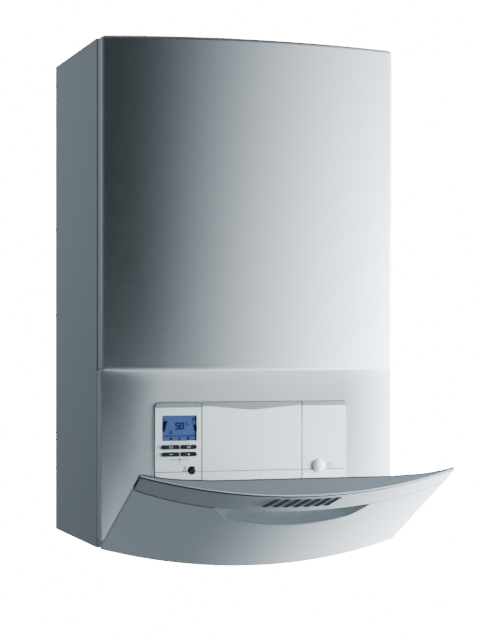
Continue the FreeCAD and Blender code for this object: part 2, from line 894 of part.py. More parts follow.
def display_fascia():
    body = rounded_top(panel_module(-panel_half, -seam_half - seam_gap / 2), -panel_half)
    body = body.cut(box(screen_left, screen_right, panel_y - over, panel_back_y + over,
                        screen_low, screen_high))
    for side, (x0, x1) in key_spans().items():
        for h in key_rows.values():
            hole = prism(key_outline(x0, x1, h, fit, panel_y - over), V(0, panel_thickness + 2 * over, 0))
            pocket = prism(key_outline(x0, x1, h, key_collar + fit, pocket_y), V(0, key_pocket + over, 0))
            body = body.cut(hole).cut(pocket)
    body = body.cut(button_hole(reset_x, reset_height, reset_radius))
    return body.cut(fascia_strips()[0])


def centre_fascia():
    half = seam_half - seam_gap / 2
    return panel_module(-half, half).cut(fascia_strips()[1])


def switch_fascia():
    body = rounded_top(panel_module(seam_half + seam_gap / 2, panel_half), panel_half)
    body = body.cut(button_hole(power_x, power_height, power_radius))
    return body.cut(fascia_strips()[2])


def fascia_strips():
    """Grey inlays along the top of the three modules; the middle one droops."""
    inner = seam_half - seam_gap / 2
    outer = seam_half + seam_gap / 2
    half = panel_half
    left = box(-half, -outer, panel_y, panel_y + strip_depth, panel_top - strip_left, panel_top)
    left = rounded_top(left, -half)
    right = box(outer, half, panel_y, panel_y + strip_depth, panel_top - strip_right, panel_top)
    right = rounded_top(right, half)
    ends = panel_top - strip_end
    edges = [line(at(-inner, panel_y, panel_top), at(inner, panel_y, panel_top)),
             line(at(-inner, panel_y, panel_top), at(-inner, panel_y, ends)),
             line(at(inner, panel_y, panel_top), at(inner, panel_y, ends)),
             arc(at(-inner, panel_y, ends), at(0, panel_y, panel_top - strip_middle),
                 at(inner, panel_y, ends))]
    return [left, prism(edges, V(0, strip_depth, 0)), right]


def display_glass():
    return box(screen_left + fit / 2, screen_right - fit / 2, panel_y + screen_sink,
               panel_back_y + housing_wall, screen_low + fit / 2, screen_high - fit / 2)


def panel_switches():
    board_y = panel_back_y + housing_wall
    half = key_height / 2
    switches = []
    for x0, x1 in key_spans().values():
        for h in key_rows.values():
            x = (x0 + x1) / 2
            switches.append(box(x - half, x + half, switch_y(), board_y, h - half, h + half))
    switches.append(box(reset_x - half, reset_x + half, switch_y(), board_y,
                        reset_height - half, reset_height + half))
    half = power_radius + key_collar + switch_wall
    power = box(power_x - half, power_x + half, board_y, board_y + switch_depth,
                power_height - half, power_height + half)
    switches.append(power.cut(rod_y(power_x, power_height, board_y - over, board_y + 2 * power_travel,
                                    power_radius + key_collar + 2 * fit)))
    return group(switches)


nodes["electronics_housing"] = electronics_housing()
nodes["main_board"] = main_board()
nodes["display_board"] = display_board()
nodes["display_fascia"] = display_fascia()
nodes["centre_fascia"] = centre_fascia()
nodes["switch_fascia"] = switch_fascia()
nodes["fascia_strips"] = group(fascia_strips())
nodes["display_glass"] = display_glass()
nodes["panel_switches"] = panel_switches()
for row in key_rows:
    for side in key_spans():
        nodes["key_" + row + "_" + side] = panel_key(side, row)
nodes["reset_button"] = round_button(reset_x, reset_height, reset_radius, key_proud, running,
                                     switch_y() - reset_travel - running)
nodes["power_button"] = round_button(power_x, power_height, power_radius, power_proud, power_dome,
                                     panel_back_y + housing_wall + power_travel - fit)


# Heat cell: drum, coil, burner door and burner

def cross_beam():
    y = drum_back_y - drum_length / 2
    body = box(-inner_half, inner_half, y - beam_depth / 2, y + beam_depth / 2,
               beam_height - beam_section, beam_height)
    hollow = box(-inner_half, inner_half, y - beam_depth / 2 + 2 * sheet, y + beam_depth / 2 - 2 * sheet,
                 beam_height - beam_section, beam_height - 2 * sheet)
    return body.cut(hollow)


def expansion_vessel():
    half = vessel_width / 2
    front = back_y - sheet - vessel_depth
    body = box(-half, half, back_y - sheet, front, vessel_bottom, vessel_bottom + vessel_height)
    edges = [edge for edge in body.Edges
             if any(v.Y < back_y - sheet - fit for v in edge.Vertexes)]
    wall = vessel_wall
    void = box(-half + vessel_edge, half - vessel_edge, back_y - sheet - wall, front + wall,
               vessel_bottom + vessel_edge, vessel_bottom + vessel_height - vessel_edge)
    return body.makeFillet(vessel_edge, edges).cut(void)


def door_bolt_places():
    ring = drum_radius + drum_flange / 2
    places = []
    for index in range(door_bolts):
        turn = math.radians(360 * (index + 0.5) / door_bolts)
        places.append((ring * math.cos(turn), drum_axis + ring * math.sin(turn)))
    return places


def exchanger_shell():
    body = rod_y(0, drum_axis, drum_back_y, drum_front_y, drum_radius)
    rim = rod_y(0, drum_axis, drum_front_y, drum_front_y + flange_thickness, drum_radius + drum_flange)
    beam_y = drum_back_y - drum_length / 2
    half = beam_depth / 2
    foot = box(-drum_foot, drum_foot, beam_y - half, beam_y + half, beam_height, drum_axis)
    spigot = rod_z(0, -flue_y, drum_axis, drum_axis + drum_radius + spigot_height,
                   flue_radius + 2 * flue_wall)
    drain = rod_z(0, -siphon_y, beam_height, drum_axis, siphon_neck + drum_wall)
    ports = [rod_z(side * coil_port_x, -coil_port_y, beam_height - coil_port_drop, drum_axis,
                   coil_port_radius) for side in (-1, 1)]
    body = fuse([body, rim, foot, spigot, drain] + ports)
    body = body.cut(rod_y(0, drum_axis, drum_back_y - drum_wall, drum_front_y - over,
                          drum_radius - drum_wall))
    body = body.cut(rod_z(0, -flue_y, drum_axis, case_height, flue_radius - flue_stop))
    body = body.cut(rod_z(0, -siphon_y, 0, drum_axis, siphon_neck))
    for x, h in door_bolt_places():
        body = body.cut(rod_y(x, h, drum_front_y - over, drum_front_y + flange_thickness + over, bolt_radius))
    return body


def exchanger_coil():
    """Flat-sided tubes wound once over the top, side by side, between two headers."""
    start = math.degrees(math.asin(coil_port_x / coil_radius))
    header_h = drum_axis - math.sqrt(coil_radius ** 2 - coil_port_x ** 2)
    first_y = drum_back_y - drum_wall - fit
    pieces = []
    for index in range(coil_turns):
        y = first_y - header_radius - index * coil_pitch
        corners = [at(coil_radius + sx * coil_tube, y + sy * coil_tube, drum_axis)
                   for sx, sy in ((-1, -1), (1, -1), (1, 1), (-1, 1), (-1, -1))]
        section = Part.Face(Part.makePolygon(corners))
        section.rotate(at(0, y, drum_axis), V(0, 1, 0), 90 - start)
        pieces.append(section.revolve(at(0, y, drum_axis), V(0, -1, 0), 360 - 2 * start))
    last_y = first_y - 2 * header_radius - (coil_turns - 1) * coil_pitch
    for side in (-1, 1):
        pieces.append(rod_y(side * coil_port_x, header_h, first_y, last_y, header_radius))
        wall_h = drum_axis - math.sqrt((drum_radius - drum_wall - fit) ** 2
                                       - (coil_port_x + coil_tube / 2) ** 2)
        pieces.append(rod_z(side * coil_port_x, -coil_port_y, wall_h, header_h, coil_tube / 2))
    return fuse(pieces)


def burner_door():
    body = rod_y(0, drum_axis, door_back_y, door_front_y, drum_radius + drum_flange)
    body = body.cut(rod_y(0, drum_axis, door_front_y, door_front_y + door_thickness / 2, door_dish))
    port = rod_y(0, drum_axis, fan_back_y, door_front_y + door_thickness / 2, port_radius + 2 * fan_wall)
    body = fuse([body, port]).cut(rod_y(0, drum_axis, fan_back_y, door_back_y, port_radius))
    for x, h in door_bolt_places():
        body = body.cut(rod_y(x, h, door_front_y - over, door_back_y + over, bolt_radius))
    for side in (-1, 1):
        hole = rod_y(side * electrode_pitch / 2, drum_axis + electrode_offset, door_front_y, door_back_y,
                     electrode_radius + running)
        body = body.cut(hole)
    return body


def door_seal():
    outer = rod_y(0, drum_axis, drum_front_y, door_back_y, drum_radius)
    return outer.cut(rod_y(0, drum_axis, drum_front_y, door_back_y, drum_radius - 2 * drum_wall))


def door_nuts():
    nuts = []
    for x, h in door_bolt_places():
        corners = []
        for index in range(nut_sides + 1):
            turn = 2 * math.pi * index / nut_sides
            reach = nut_width / 2 / math.cos(math.pi / nut_sides)
            corners.append(at(x + reach * math.cos(turn), door_front_y, h + reach * math.sin(turn)))
        nut = Part.Face(Part.makePolygon(corners)).extrude(V(0, -nut_height, 0))
        stud = rod_y(x, h, door_front_y - nut_height, drum_front_y + flange_thickness, bolt_radius - running)
        nuts.append(fuse([nut, stud]))
    return group(nuts)


def burner_tube():
    tip = door_back_y + burner_length
    body = rod_y(0, drum_axis, door_back_y, tip, burner_radius)
    body = body.cut(rod_y(0, drum_axis, door_back_y, tip - burner_wall, burner_radius - burner_wall))
    return body


def ignition_electrode():
    rods = []
    for side in (-1, 1):
        x = side * electrode_pitch / 2
        rods.append(rod_y(x, drum_axis + electrode_offset, door_front_y, door_back_y + electrode_length,
                          electrode_radius))
    clip = box(-electrode_clip / 2, electrode_clip / 2, door_front_y + door_thickness / 2,
               door_front_y + door_thickness / 4, drum_axis + electrode_offset - 2 * electrode_radius,
               drum_axis + electrode_offset + 2 * electrode_radius)
    return fuse([clip] + rods)


# Premix fan on the burner door


def scroll_edges(shrink):
    """Scroll outline in three widening arcs that run out into the duct over the burner port."""
    radii = [fan_radius + fan_growth * index / scroll_steps - shrink for index in range(scroll_steps + 1)]
    duct_high = fan_axis + radii[scroll_steps]

    def spot(index):
        turn = math.radians(180 + scroll_angle * index)
        return at(fan_x + radii[index] * math.cos(turn), fan_back_y, fan_axis + radii[index] * math.sin(turn))

    duct_low = duct_high - fan_duct + 2 * shrink
    end_x = -port_radius - 2 * fan_wall + shrink
    start_x = fan_x - radii[0]
    edges = [arc(spot(index), spot(index + 1), spot(index + 2)) for index in range(0, scroll_steps, 2)]
    edges.append(line(spot(scroll_steps), at(end_x, fan_back_y, duct_high)))
    edges.append(line(at(end_x, fan_back_y, duct_high), at(end_x, fan_back_y, duct_low)))
    edges.append(line(at(end_x, fan_back_y, duct_low), at(start_x, fan_back_y, duct_low)))
    edges.append(line(at(start_x, fan_back_y, duct_low), spot(0)))
    return edges


def fan_housing():
    body = prism(scroll_edges(0), V(0, -fan_depth, 0))
    hollow = prism(scroll_edges(fan_wall), V(0, -fan_depth + 2 * fan_wall, 0))
    hollow.translate(V(0, -fan_wall, 0))
    spigot_x = fan_x + fan_radius - gas_radius
    spigot = rod_z(spigot_x, feed_y(), fan_axis - fan_radius, fan_axis, gas_radius + fan_wall)
    body = fuse([body, spigot.cut(hollow)]).cut(hollow)
    body = body.cut(rod_z(spigot_x, feed_y(), 0, fan_axis, gas_radius))
    body = body.cut(rod_y(0, drum_axis, fan_back_y + over, fan_back_y - fan_wall, port_radius))
    body = body.cut(rod_y(fan_x, fan_axis, fan_back_y, fan_back_y - fan_wall, fan_inlet))
    return body.cut(rod_y(fan_x, fan_axis, fan_front_y, fan_front_y + fan_wall, shaft_radius + running))


def feed_y():
    return fan_back_y - fan_depth / 2


def wheel(x, h, back_y_, width, radius, blades, eye, shaft_end):
    """Bladed wheel: a back plate, curved blades from the eye to the rim, and its shaft."""
    plate = rod_y(x, h, back_y_, back_y_ - blade_thickness, radius)
    hub = rod_y(x, h, back_y_ + width / 2, shaft_end, shaft_radius)
    pieces = [plate, hub]
    for index in range(blades):
        turn = math.radians(360 * index / blades)
        lean = turn + math.radians(360 / blades)
        middle = (turn + lean) / 2 - math.radians(blade_curl / blades)
        radii = [(eye, turn), ((eye + radius) / 2, middle), (radius - blade_thickness, lean)]
        inner = [at(x + r * math.cos(a), back_y_, h + r * math.sin(a)) for r, a in radii]
        outer = [at(x + (r + blade_thickness) * math.cos(a), back_y_, h + (r + blade_thickness) * math.sin(a))
                 for r, a in radii]
        edges = [arc(*inner), arc(*outer), line(inner[0], outer[0]), line(inner[2], outer[2])]
        pieces.append(prism(edges, V(0, width, 0)))
    return fuse(pieces)


def fan_impeller():
    back = fan_front_y + 2 * fan_wall + blade_thickness
    return wheel(fan_x, fan_axis, back, impeller_width, impeller_radius, impeller_blades,
                 fan_inlet, fan_front_y - motor_length / 2)


def fan_motor():
    body = rod_y(fan_x, fan_axis, fan_front_y, fan_front_y - motor_length, motor_radius)
    rim = [edge for edge in body.Edges if all(v.Y < fan_front_y - fit for v in edge.Vertexes)]
    body = body.makeChamfer(fan_wall, rim[:1])
    return body.cut(rod_y(fan_x, fan_axis, fan_front_y, fan_front_y - motor_length / 2 - fit,
                          shaft_radius + running))


# Flue

def flue_tube():
    low = drum_axis + drum_radius + spigot_height
    return tube_z(0, -flue_y, low, case_height, flue_radius - flue_stop, flue_wall)


def flue_adapter():
    base = case_height
    plate = rod_z(0, -flue_y, base, base + adapter_plate, adapter_flange)
    collar = rod_z(0, -flue_y, base, base + adapter_rise, adapter_radius + flue_wall)
    bore = rod_z(0, -flue_y, base - over, base + adapter_rise + over, adapter_radius)
    body = fuse([plate, collar]).cut(bore)
    inner = tube_z(0, -flue_y, base, base + adapter_rise, flue_radius, flue_wall)
    spokes = []
    for index in range(adapter_spokes):
        spoke = box(flue_radius + flue_wall / 2, adapter_radius + flue_wall / 2, -flue_wall, flue_wall,
                    base, base + spoke_height)
        spoke.rotate(V(0, 0, 0), V(0, 0, 1), 360 * index / adapter_spokes + spoke_turn)
        spoke.translate(V(0, -flue_y, 0))
        spokes.append(spoke)
    return fuse([body, inner] + spokes)


nodes["cross_beam"] = cross_beam()
nodes["expansion_vessel"] = expansion_vessel()
nodes["exchanger_shell"] = exchanger_shell()
nodes["exchanger_coil"] = exchanger_coil()
nodes["burner_door"] = burner_door()
nodes["door_seal"] = door_seal()
nodes["door_nuts"] = door_nuts()
nodes["burner_tube"] = burner_tube()
nodes["ignition_electrode"] = ignition_electrode()
nodes["fan_housing"] = fan_housing()
nodes["fan_impeller"] = fan_impeller()
nodes["fan_motor"] = fan_motor()
nodes["flue_tube"] = flue_tube()
nodes["flue_adapter"] = flue_adapter()


# Hydraulics on the floor sheet

def valve_block(side):
    """Cast block with its two stubs; side is -1 for flow and 1 for return."""
    body = box(side * block_inner, side * block_outer, -stub_y - block_depth / 2, -stub_y + block_depth / 2,
               sheet, block_top)
    outer = [edge for edge in body.Edges
             if all(abs(v.X - side * block_outer) < fit for v in edge.Vertexes)]
    body = body.makeFillet(block_edge, outer)
    for x, radius in ((heating_x, heating_stub), (water_x, water_stub)):
        nut = rod_z(side * x, -stub_y, -nut_drop, 0, radius + nut_flange)
        body = body.fuse(rod_z(side * x, -stub_y, -stub_drop, sheet, radius)).fuse(nut)
        body = body.cut(rod_z(side * x, -stub_y, -stub_drop - over, block_height / 2, radius - stub_wall))
    return body.removeSplitter()


def flow_block():
    body = valve_block(-1)
    deep = stem_length / 2 + diverter_stroke + diverter_stem
    return body.cut(rod_z(-diverter_x, -stub_y, block_top - deep, block_top, diverter_disc + seat_gap))


volute_front_y = -stub_y - volute_depth / 2


def return_block():
    body = valve_block(1)
    volute = rod_y(heating_x, pump_axis, volute_front_y, volute_front_y + volute_depth, pump_radius)
    foot = box(heating_x - pump_radius / 2, heating_x + pump_radius / 2, volute_front_y,
               volute_front_y + volute_depth, block_top, pump_axis)
    neck = rod_z(heating_x, -stub_y, pump_axis, pump_axis + pump_radius + pump_neck / 2, pump_neck)
    body = fuse([body, volute, foot, neck])
    cavity = pump_impeller_radius + 2 * blade_thickness
    return body.cut(rod_y(heating_x, pump_axis, volute_front_y, volute_front_y + pump_cavity, cavity))


def pump_motor():
    body = rod_y(heating_x, pump_axis, volute_front_y, volute_front_y - pump_motor_length, pump_motor_radius)
    bore = rod_y(heating_x, pump_axis, volute_front_y, volute_front_y - pump_motor_length / 2 - fit,
                 shaft_radius + running)
    fins = []
    for index in range(pump_grooves):
        y = volute_front_y - pump_motor_length * (index + 1) / (pump_grooves + 1)
        ring = rod_y(heating_x, pump_axis, y, y - blade_thickness, pump_motor_radius + over)
        fins.append(ring.cut(rod_y(heating_x, pump_axis, y, y - blade_thickness,
                                   pump_motor_radius - blade_thickness)))
    for fin in fins:
        body = body.cut(fin)
    return body.cut(bore)


def pump_impeller():
    back = volute_front_y + 2 * blade_thickness
    return wheel(heating_x, pump_axis, back, pump_impeller_width, pump_impeller_radius, pump_blades,
                 pump_impeller_radius / 2, volute_front_y - pump_motor_length / 2)


def plate_exchanger():
    low = sheet + plate_lift
    high = low + plate_height
    y0 = -stub_y - plate_depth / 2
    y1 = -stub_y + plate_depth / 2
    body = box(-block_inner, block_inner, y0, y1, low, high)
    core = box(-block_inner, block_inner, y0 + plate_groove, y1 - plate_groove,
               low + plate_groove, high - plate_groove)
    for index in range(1, plate_count):
        x = -block_inner + 2 * block_inner * index / plate_count
        slot = box(x - plate_groove / 2, x + plate_groove / 2, y0, y1, low, high)
        body = body.cut(slot.cut(core))
    return body


def diverter_motor():
    body = rod_z(-diverter_x, -stub_y, block_top, block_top + diverter_length, diverter_radius)
    return body.cut(rod_z(-diverter_x, -stub_y, block_top, block_top + stem_length / 2 + fit,
                          diverter_stem + running))


def diverter_stem_piece():
    stem = rod_z(-diverter_x, -stub_y, block_top - stem_length / 2, block_top + stem_length / 2,
                 diverter_stem)
    disc = rod_z(-diverter_x, -stub_y, block_top - stem_length / 2,
                 block_top - stem_length / 2 + diverter_stem, diverter_disc)
    return fuse([stem, disc])


def safety_valve():
    face = -stub_y - block_depth / 2
    h = sheet + block_height / 2
    body = rod_y(-relief_x, h, face, face - relief_length / 2, relief_neck)
    cap = rod_y(-relief_x, h, face - relief_length / 2, face - relief_length, relief_radius)
    return fuse([body, cap])


port_bottom = beam_height - coil_port_drop


def flow_pipe():
    low = (block_top + port_bottom) / 2
    points = [at(-coil_port_x, -coil_port_y, port_bottom), at(-coil_port_x, -coil_port_y, low + slant / 2),
              at(-flow_x, -stub_y, low - slant / 2), at(-flow_x, -stub_y, block_top)]
    return pipe(points, pipe_radius, pipe_wall, pipe_bend)


def return_pipe():
    start = pump_axis + pump_radius + pump_neck / 2
    low = (start + port_bottom) / 2
    points = [at(heating_x, -stub_y, start), at(heating_x, -stub_y, low - slant / 2),
              at(coil_port_x, -coil_port_y, low + slant / 2), at(coil_port_x, -coil_port_y, port_bottom)]
    return pipe(points, pipe_radius, pipe_wall, pipe_bend)


def vessel_pipe():
    end_y = -stub_y + block_depth / 2 - vessel_pipe_inset
    low = (block_top + vessel_bottom) / 2
    points = [at(vessel_pipe_x, -vessel_pipe_y, vessel_bottom), at(vessel_pipe_x, -vessel_pipe_y, low),
              at(vessel_pipe_x, end_y, low - slant / 2), at(vessel_pipe_x, end_y, block_top)]
    return pipe(points, vessel_pipe_radius, pipe_wall, pipe_bend)


# Gas side

def gas_valve():
    top = valve_bottom + valve_height
    body = box(valve_x - valve_width / 2, valve_x + valve_width / 2, -valve_y - valve_depth / 2,
               -valve_y + valve_depth / 2, valve_bottom, top)
    cap = rod_z(valve_x, -valve_y, top, top + valve_cap_height, valve_cap_radius)
    lug = box(valve_x, inner_half, -valve_y - valve_lug / 2, -valve_y + valve_lug / 2,
              valve_bottom + valve_height / 2 - sheet * 2, valve_bottom + valve_height / 2 + sheet * 2)
    return fuse([body, cap, lug])


def gas_pipe():
    bent = gas_run - gas_radius
    points = [at(0, -gas_y, -stub_drop), at(0, -gas_y, bent - slant), at(gas_step, -gas_y, bent),
              at(valve_x, -valve_y, gas_run), at(valve_x, -valve_y, valve_bottom)]
    nut = tube_z(0, -gas_y, -nut_drop, 0, gas_radius - pipe_wall, pipe_wall + nut_flange)
    return fuse([pipe(points, gas_radius, pipe_wall, pipe_bend / 2), nut])


def gas_feed_pipe():
    start = valve_bottom + valve_height + valve_cap_height
    spigot_x = fan_x + fan_radius - gas_radius
    end = fan_axis - fan_radius
    points = [at(valve_x, -valve_y, start), at(valve_x, -valve_y, start + feed_start),
              at(spigot_x, feed_y(), end - feed_end), at(spigot_x, feed_y(), end)]
    return pipe(points, gas_radius, pipe_wall, pipe_bend / 2)


def siphon():
    top = beam_height - siphon_neck_length
    neck = rod_z(0, -siphon_y, top, beam_height, siphon_neck + drum_wall)
    bottle = rod_z(0, -siphon_y, top - siphon_length, top, siphon_radius)
    ends = [edge for edge in bottle.Edges if len(edge.Vertexes) == 1]
    bottle = bottle.makeChamfer(drum_wall * 2, ends)
    drain = rod_z(0, -siphon_y, -stub_drop, top - siphon_length, drain_radius)
    nut = rod_z(0, -siphon_y, -nut_drop, 0, drain_radius + nut_flange)
    body = fuse([neck, bottle, drain, nut])
    return body.cut(rod_z(0, -siphon_y, top, beam_height, siphon_neck))


nodes["plate_exchanger"] = plate_exchanger()
nodes["flow_block"] = flow_block()
nodes["return_block"] = return_block()
nodes["pump_motor"] = pump_motor()
nodes["pump_impeller"] = pump_impeller()
nodes["diverter_motor"] = diverter_motor()
nodes["diverter_stem"] = diverter_stem_piece()
nodes["safety_valve"] = safety_valve()
nodes["flow_pipe"] = flow_pipe()
nodes["return_pipe"] = return_pipe()
nodes["vessel_pipe"] = vessel_pipe()
nodes["gas_valve"] = gas_valve()
nodes["gas_pipe"] = gas_pipe()
nodes["gas_feed_pipe"] = gas_feed_pipe()
nodes["siphon"] = siphon()


os.makedirs("parts", exist_ok=True)
for name, shape in nodes.items():
    shape.exportStep("parts/" + name + ".step")
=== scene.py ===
import json
import math

import bmesh
import bpy
from mathutils import Matrix, Vector


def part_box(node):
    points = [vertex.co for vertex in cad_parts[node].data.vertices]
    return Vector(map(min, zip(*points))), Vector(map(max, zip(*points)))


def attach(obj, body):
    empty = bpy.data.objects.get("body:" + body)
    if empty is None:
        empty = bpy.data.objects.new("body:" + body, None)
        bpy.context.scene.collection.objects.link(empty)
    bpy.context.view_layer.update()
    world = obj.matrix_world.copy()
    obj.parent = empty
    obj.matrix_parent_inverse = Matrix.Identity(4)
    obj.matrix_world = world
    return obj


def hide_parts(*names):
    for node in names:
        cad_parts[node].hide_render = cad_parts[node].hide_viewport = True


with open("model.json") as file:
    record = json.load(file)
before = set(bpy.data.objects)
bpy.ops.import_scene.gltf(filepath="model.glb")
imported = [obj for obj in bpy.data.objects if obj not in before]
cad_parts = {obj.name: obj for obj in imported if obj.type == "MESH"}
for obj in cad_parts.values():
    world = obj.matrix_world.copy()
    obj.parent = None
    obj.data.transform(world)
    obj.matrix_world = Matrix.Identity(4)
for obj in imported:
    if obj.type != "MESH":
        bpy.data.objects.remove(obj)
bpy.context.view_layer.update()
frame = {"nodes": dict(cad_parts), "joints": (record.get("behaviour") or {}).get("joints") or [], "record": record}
nodes = frame["nodes"]

# Sizes in millimetres, heights above the casing's lower edge
MM = 0.001
FIT = 0.3
# How far a cutting body stands past the piece that it cuts
OVER = 5.0
# Rounding of sheet, of its folds, of moulded edges and of crisp fascia edges
SHEET_EDGE = 0.35
FOLD_EDGE = 0.3
MOULD_EDGE = 0.4
CRISP_EDGE = 0.25

# Casing
side_low, side_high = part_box("left_side_panel")
cover_low, cover_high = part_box("front_cover")
BASE = side_low.z
HALF_WIDTH = -side_low.x / MM
CASE_HEIGHT = (side_high.z - BASE) / MM
FRONT = cover_low.y / MM
COVER_BACK = cover_high.y / MM
COVER_LOW = (cover_low.z - BASE) / MM
COVER_WALL = 2.0
BOW = 33.0
BOW_RADIUS = (HALF_WIDTH ** 2 + BOW ** 2) / (2 * BOW)
BOW_CENTRE = FRONT + BOW_RADIUS
CORNER = FRONT + BOW
CORNER_RADIUS = 9.0
LEDGE = 250.0
LEDGE_ROUND = 5.6
LOWER_REACH = 4.0
LOWER_FACE = CORNER - LOWER_REACH
LOWER_FLAT = 140.0
LOWER_EDGE_BACK = 7.0
LOWER_CORNER = 3.0
RIM = 14.0
RIM_LAP = 0.2
RIM_CORNERS = (6.0, 4.0)
SHEET = 1.2
SHEET_FOLD = 14.0
SHEET_BEND = 3.0
FLUE_LAP = 4.0

# Flap, as it lies when shut
FLAP_ANGLE = 62.0
FLAP_HALF = HALF_WIDTH + 0.8
FLAP_LOW = 1.0
FLAP_TOP = LEDGE - 2.0
FLAP_FLOOR = 11.0
FLAP_WALL = 3.0
FLAP_ROUND = 0.7
FLAP_INNER = CORNER - 8.8
FLAP_FLAT = 125.0
FLAP_SHOULDER = 150.0
FLAP_SHOULDER_Y = CORNER - 6.6
FLAP_EDGE = CORNER + 5.5
WING_START = 176.0
WING_BELLY = 0.032
LINER = 2.0

# Hinge
HINGE = next(joint for joint in frame["joints"] if joint["name"] == "flap_hinge")["pos_m"]
HINGE_Y = HINGE[1] / MM
HINGE_H = (HINGE[2] - BASE) / MM
EAR_NOTCH = (HALF_WIDTH - 26.6, HALF_WIDTH - 21.4)
EAR_RADIUS = 4.0
BOSS_START = HALF_WIDTH - 15.7
BOSS_RADIUS = 3.6
BOSS_ROUND = 0.4
BOSS_BORE = 2.2

# Band along the flap's top, with the joint under it and the rim, groove and lid over it
BAND_LOW = FLAP_TOP - 50.0
BAND_LEAN = 1.5
BAND_RISE = 9.0
BAND_JOINT = 2.3
BAND_CAP = 0.8
BAND_HALF = FLAP_HALF - BAND_CAP
BAND_ROOT = BAND_LOW - 2.0
UNDER_JOINT = BAND_LOW - 10.0
OVER_JOINT = BAND_LOW + 3 * BAND_RISE
JOINT_INSET = 0.6
JOINT_PLAY = 0.05
RIM_HEIGHT = 1.9
GROOVE_WIDTH = 3.0
GROOVE_DEEP = 1.6
GROOVE_FLANGE = 0.3
BAND_TOP = FLAP_TOP - RIM_HEIGHT - GROOVE_WIDTH
EDGE_ROUND = 1.3
EDGE_STRIP = 1.7
LIP = 4.4
LID_LOW = FLAP_TOP - 0.4
LID_TOP = FLAP_TOP - 0.1
TRIM_X = (-45.0, 48.0)
TRIM_H = BAND_LOW + 28.0
TRIM_RISE = 11.5
TRIM_COUNT = 7
TRIM_SLANT = 12.0
TRIM_WIDTH = 6.0
# Rings of a bar: inset from its outline, height over the band
TRIM_RINGS = ((0.0, -0.6), (0.0, 0.7), (0.5, 1.2), (1.4, 1.5))

# Grip
GRIP_HALF = 110.0
GRIP_WAIST = 90.0
GRIP_SHOULDER = 32.0
GRIP_DEPTH = 49.0
GRIP_BULGE = 2.0
GRIP_LIP = 1.0
GRIP_FLOOR = FLAP_INNER - LINER - 2.0
GRIP_FLOOR_WALL = 1.6
# Rings of the scoop: inset from its outline, then depth under the bow or share of the full depth
GRIP_RIM = ((FIT, 0.05), (FIT + 1.6, 0.05), (FIT + 2.6, 0.8))
GRIP_WELL = ((5.0, 0.45), (8.0, 0.72), (9.0, 0.54), (9.9, 0.54), (11.0, 0.86), (14.0, 0.95), (19.0, 1.0))

# Control panel
fascia_low, fascia_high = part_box("centre_fascia")
PANEL_FACE = fascia_low.y / MM
PANEL_TOP = (fascia_high.z - BASE) / MM
PANEL_LOW = (fascia_low.z - BASE) / MM
PANEL_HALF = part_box("switch_fascia")[1].x / MM
PANEL_DEEP = 3.8
PANEL_CORNER = 5.0
PANEL_WELL = 12.0
SHADOW_GAP = 1.1
SEAM_HALF = 75.5
JOINT_HALF = 0.85
LINE_H = 107.0
LINE_HALF = 0.7
LINE_DEEP = 1.1
HOLE_OVER = 2.0
STRIP_LEFT = 7.0
STRIP_RIGHT = 6.0
STRIP_END = 5.0
STRIP_MIDDLE = 11.0
STRIP_DEEP = 0.8
STRIP_FIT = 0.15
STRIP_LEVEL = 0.05
STRIP_ROUND = 0.7
STRIP_VERTEX = 0.12
STRIP_POWER = 1.15

# Screen, keys and buttons
SCREEN = (-134.0, -83.0, 151.0, 187.0)
SCREEN_CORNER = 1.2
GLASS_FIT = 0.15
GLASS_CORNER = 0.6
GLASS_BACK = 0.6
GLASS_ROUND = 0.3
DIGIT_X = (-111.4, -104.8)
DIGIT_H = 168.0
DIGIT_SIZE = (4.2, 8.0, 1.7)
UNIT_X = -97.9
UNIT_H = 174.9
KEY_PROUD = 1.0
KEY_HALF = 2.9
KEY_BULGE = 1.2
KEY_ROUND = 0.5
UPPER_H = 142.2
LOWER_H = 132.0
KEYS = {
    "upper_left_key": (-134.5, -108.7, UPPER_H),
    "upper_right_key": (-82.9, -106.6, UPPER_H),
    "lower_left_key": (-134.5, -108.7, LOWER_H),
    "lower_right_key": (-82.9, -106.6, LOWER_H),
}
KEY_SIGN_X = (-121.0, -94.9)
BRACKET_X = (-122.1, -108.4, -94.9)
BRACKET_UPPER = 148.2
BRACKET_LOWER = 124.2
BRACKET_LINE = 0.75
BUTTON_ROOT = 2.2
BUTTON_ROUND = 0.6
RESET_X = -90.4
RESET_H = 109.0
RESET_R = 5.9
RESET_DOME = 0.7
POWER_X = 101.3
POWER_H = 112.0
POWER_R = 9.0
POWER_PROUD = 3.0
POWER_DOME = 1.4
POWER_SIGN = (118.0, 113.0)
POWER_SIGN_R = (2.2, 3.2)
MARK_ROOT = 0.05
MARK_PROUD = 0.06
PRINT_PROUD = 0.03


# Geometry helpers

def up(height):
    return BASE + height * MM


def spot(x, y, h):
    return Vector((x * MM, y * MM, up(h)))


def mesh_object(name, points, faces):
    mesh = bpy.data.meshes.new(name)
    mesh.from_pydata([tuple(p) for p in points], [], faces)
    mesh.validate()
    obj = bpy.data.objects.new(name, mesh)
    bpy.context.scene.collection.objects.link(obj)
    face_outward(obj)
    return obj


def face_outward(obj):
    work = bmesh.new()
    work.from_mesh(obj.data)
    bmesh.ops.remove_doubles(work, verts=work.verts, dist=1e-6)
    bmesh.ops.recalc_face_normals(work, faces=work.faces)
    work.to_mesh(obj.data)
    work.free()


def skin_faces(count, total, looped=False, start=0):
    """Faces through rings of equally many points, flat at both ends or looped back to the first ring."""
    faces = []
    if not looped:
        last = start + (total - 1) * count
        faces = [list(range(start, start + count)), list(range(last, last + count))]
    for level in range(total if looped else total - 1):
        here = start + level * count
        there = start + (level + 1) % total * count
        for i in range(count):
            j = (i + 1) % count
            faces.append([here + i, here + j, there + j, there + i])
    return faces


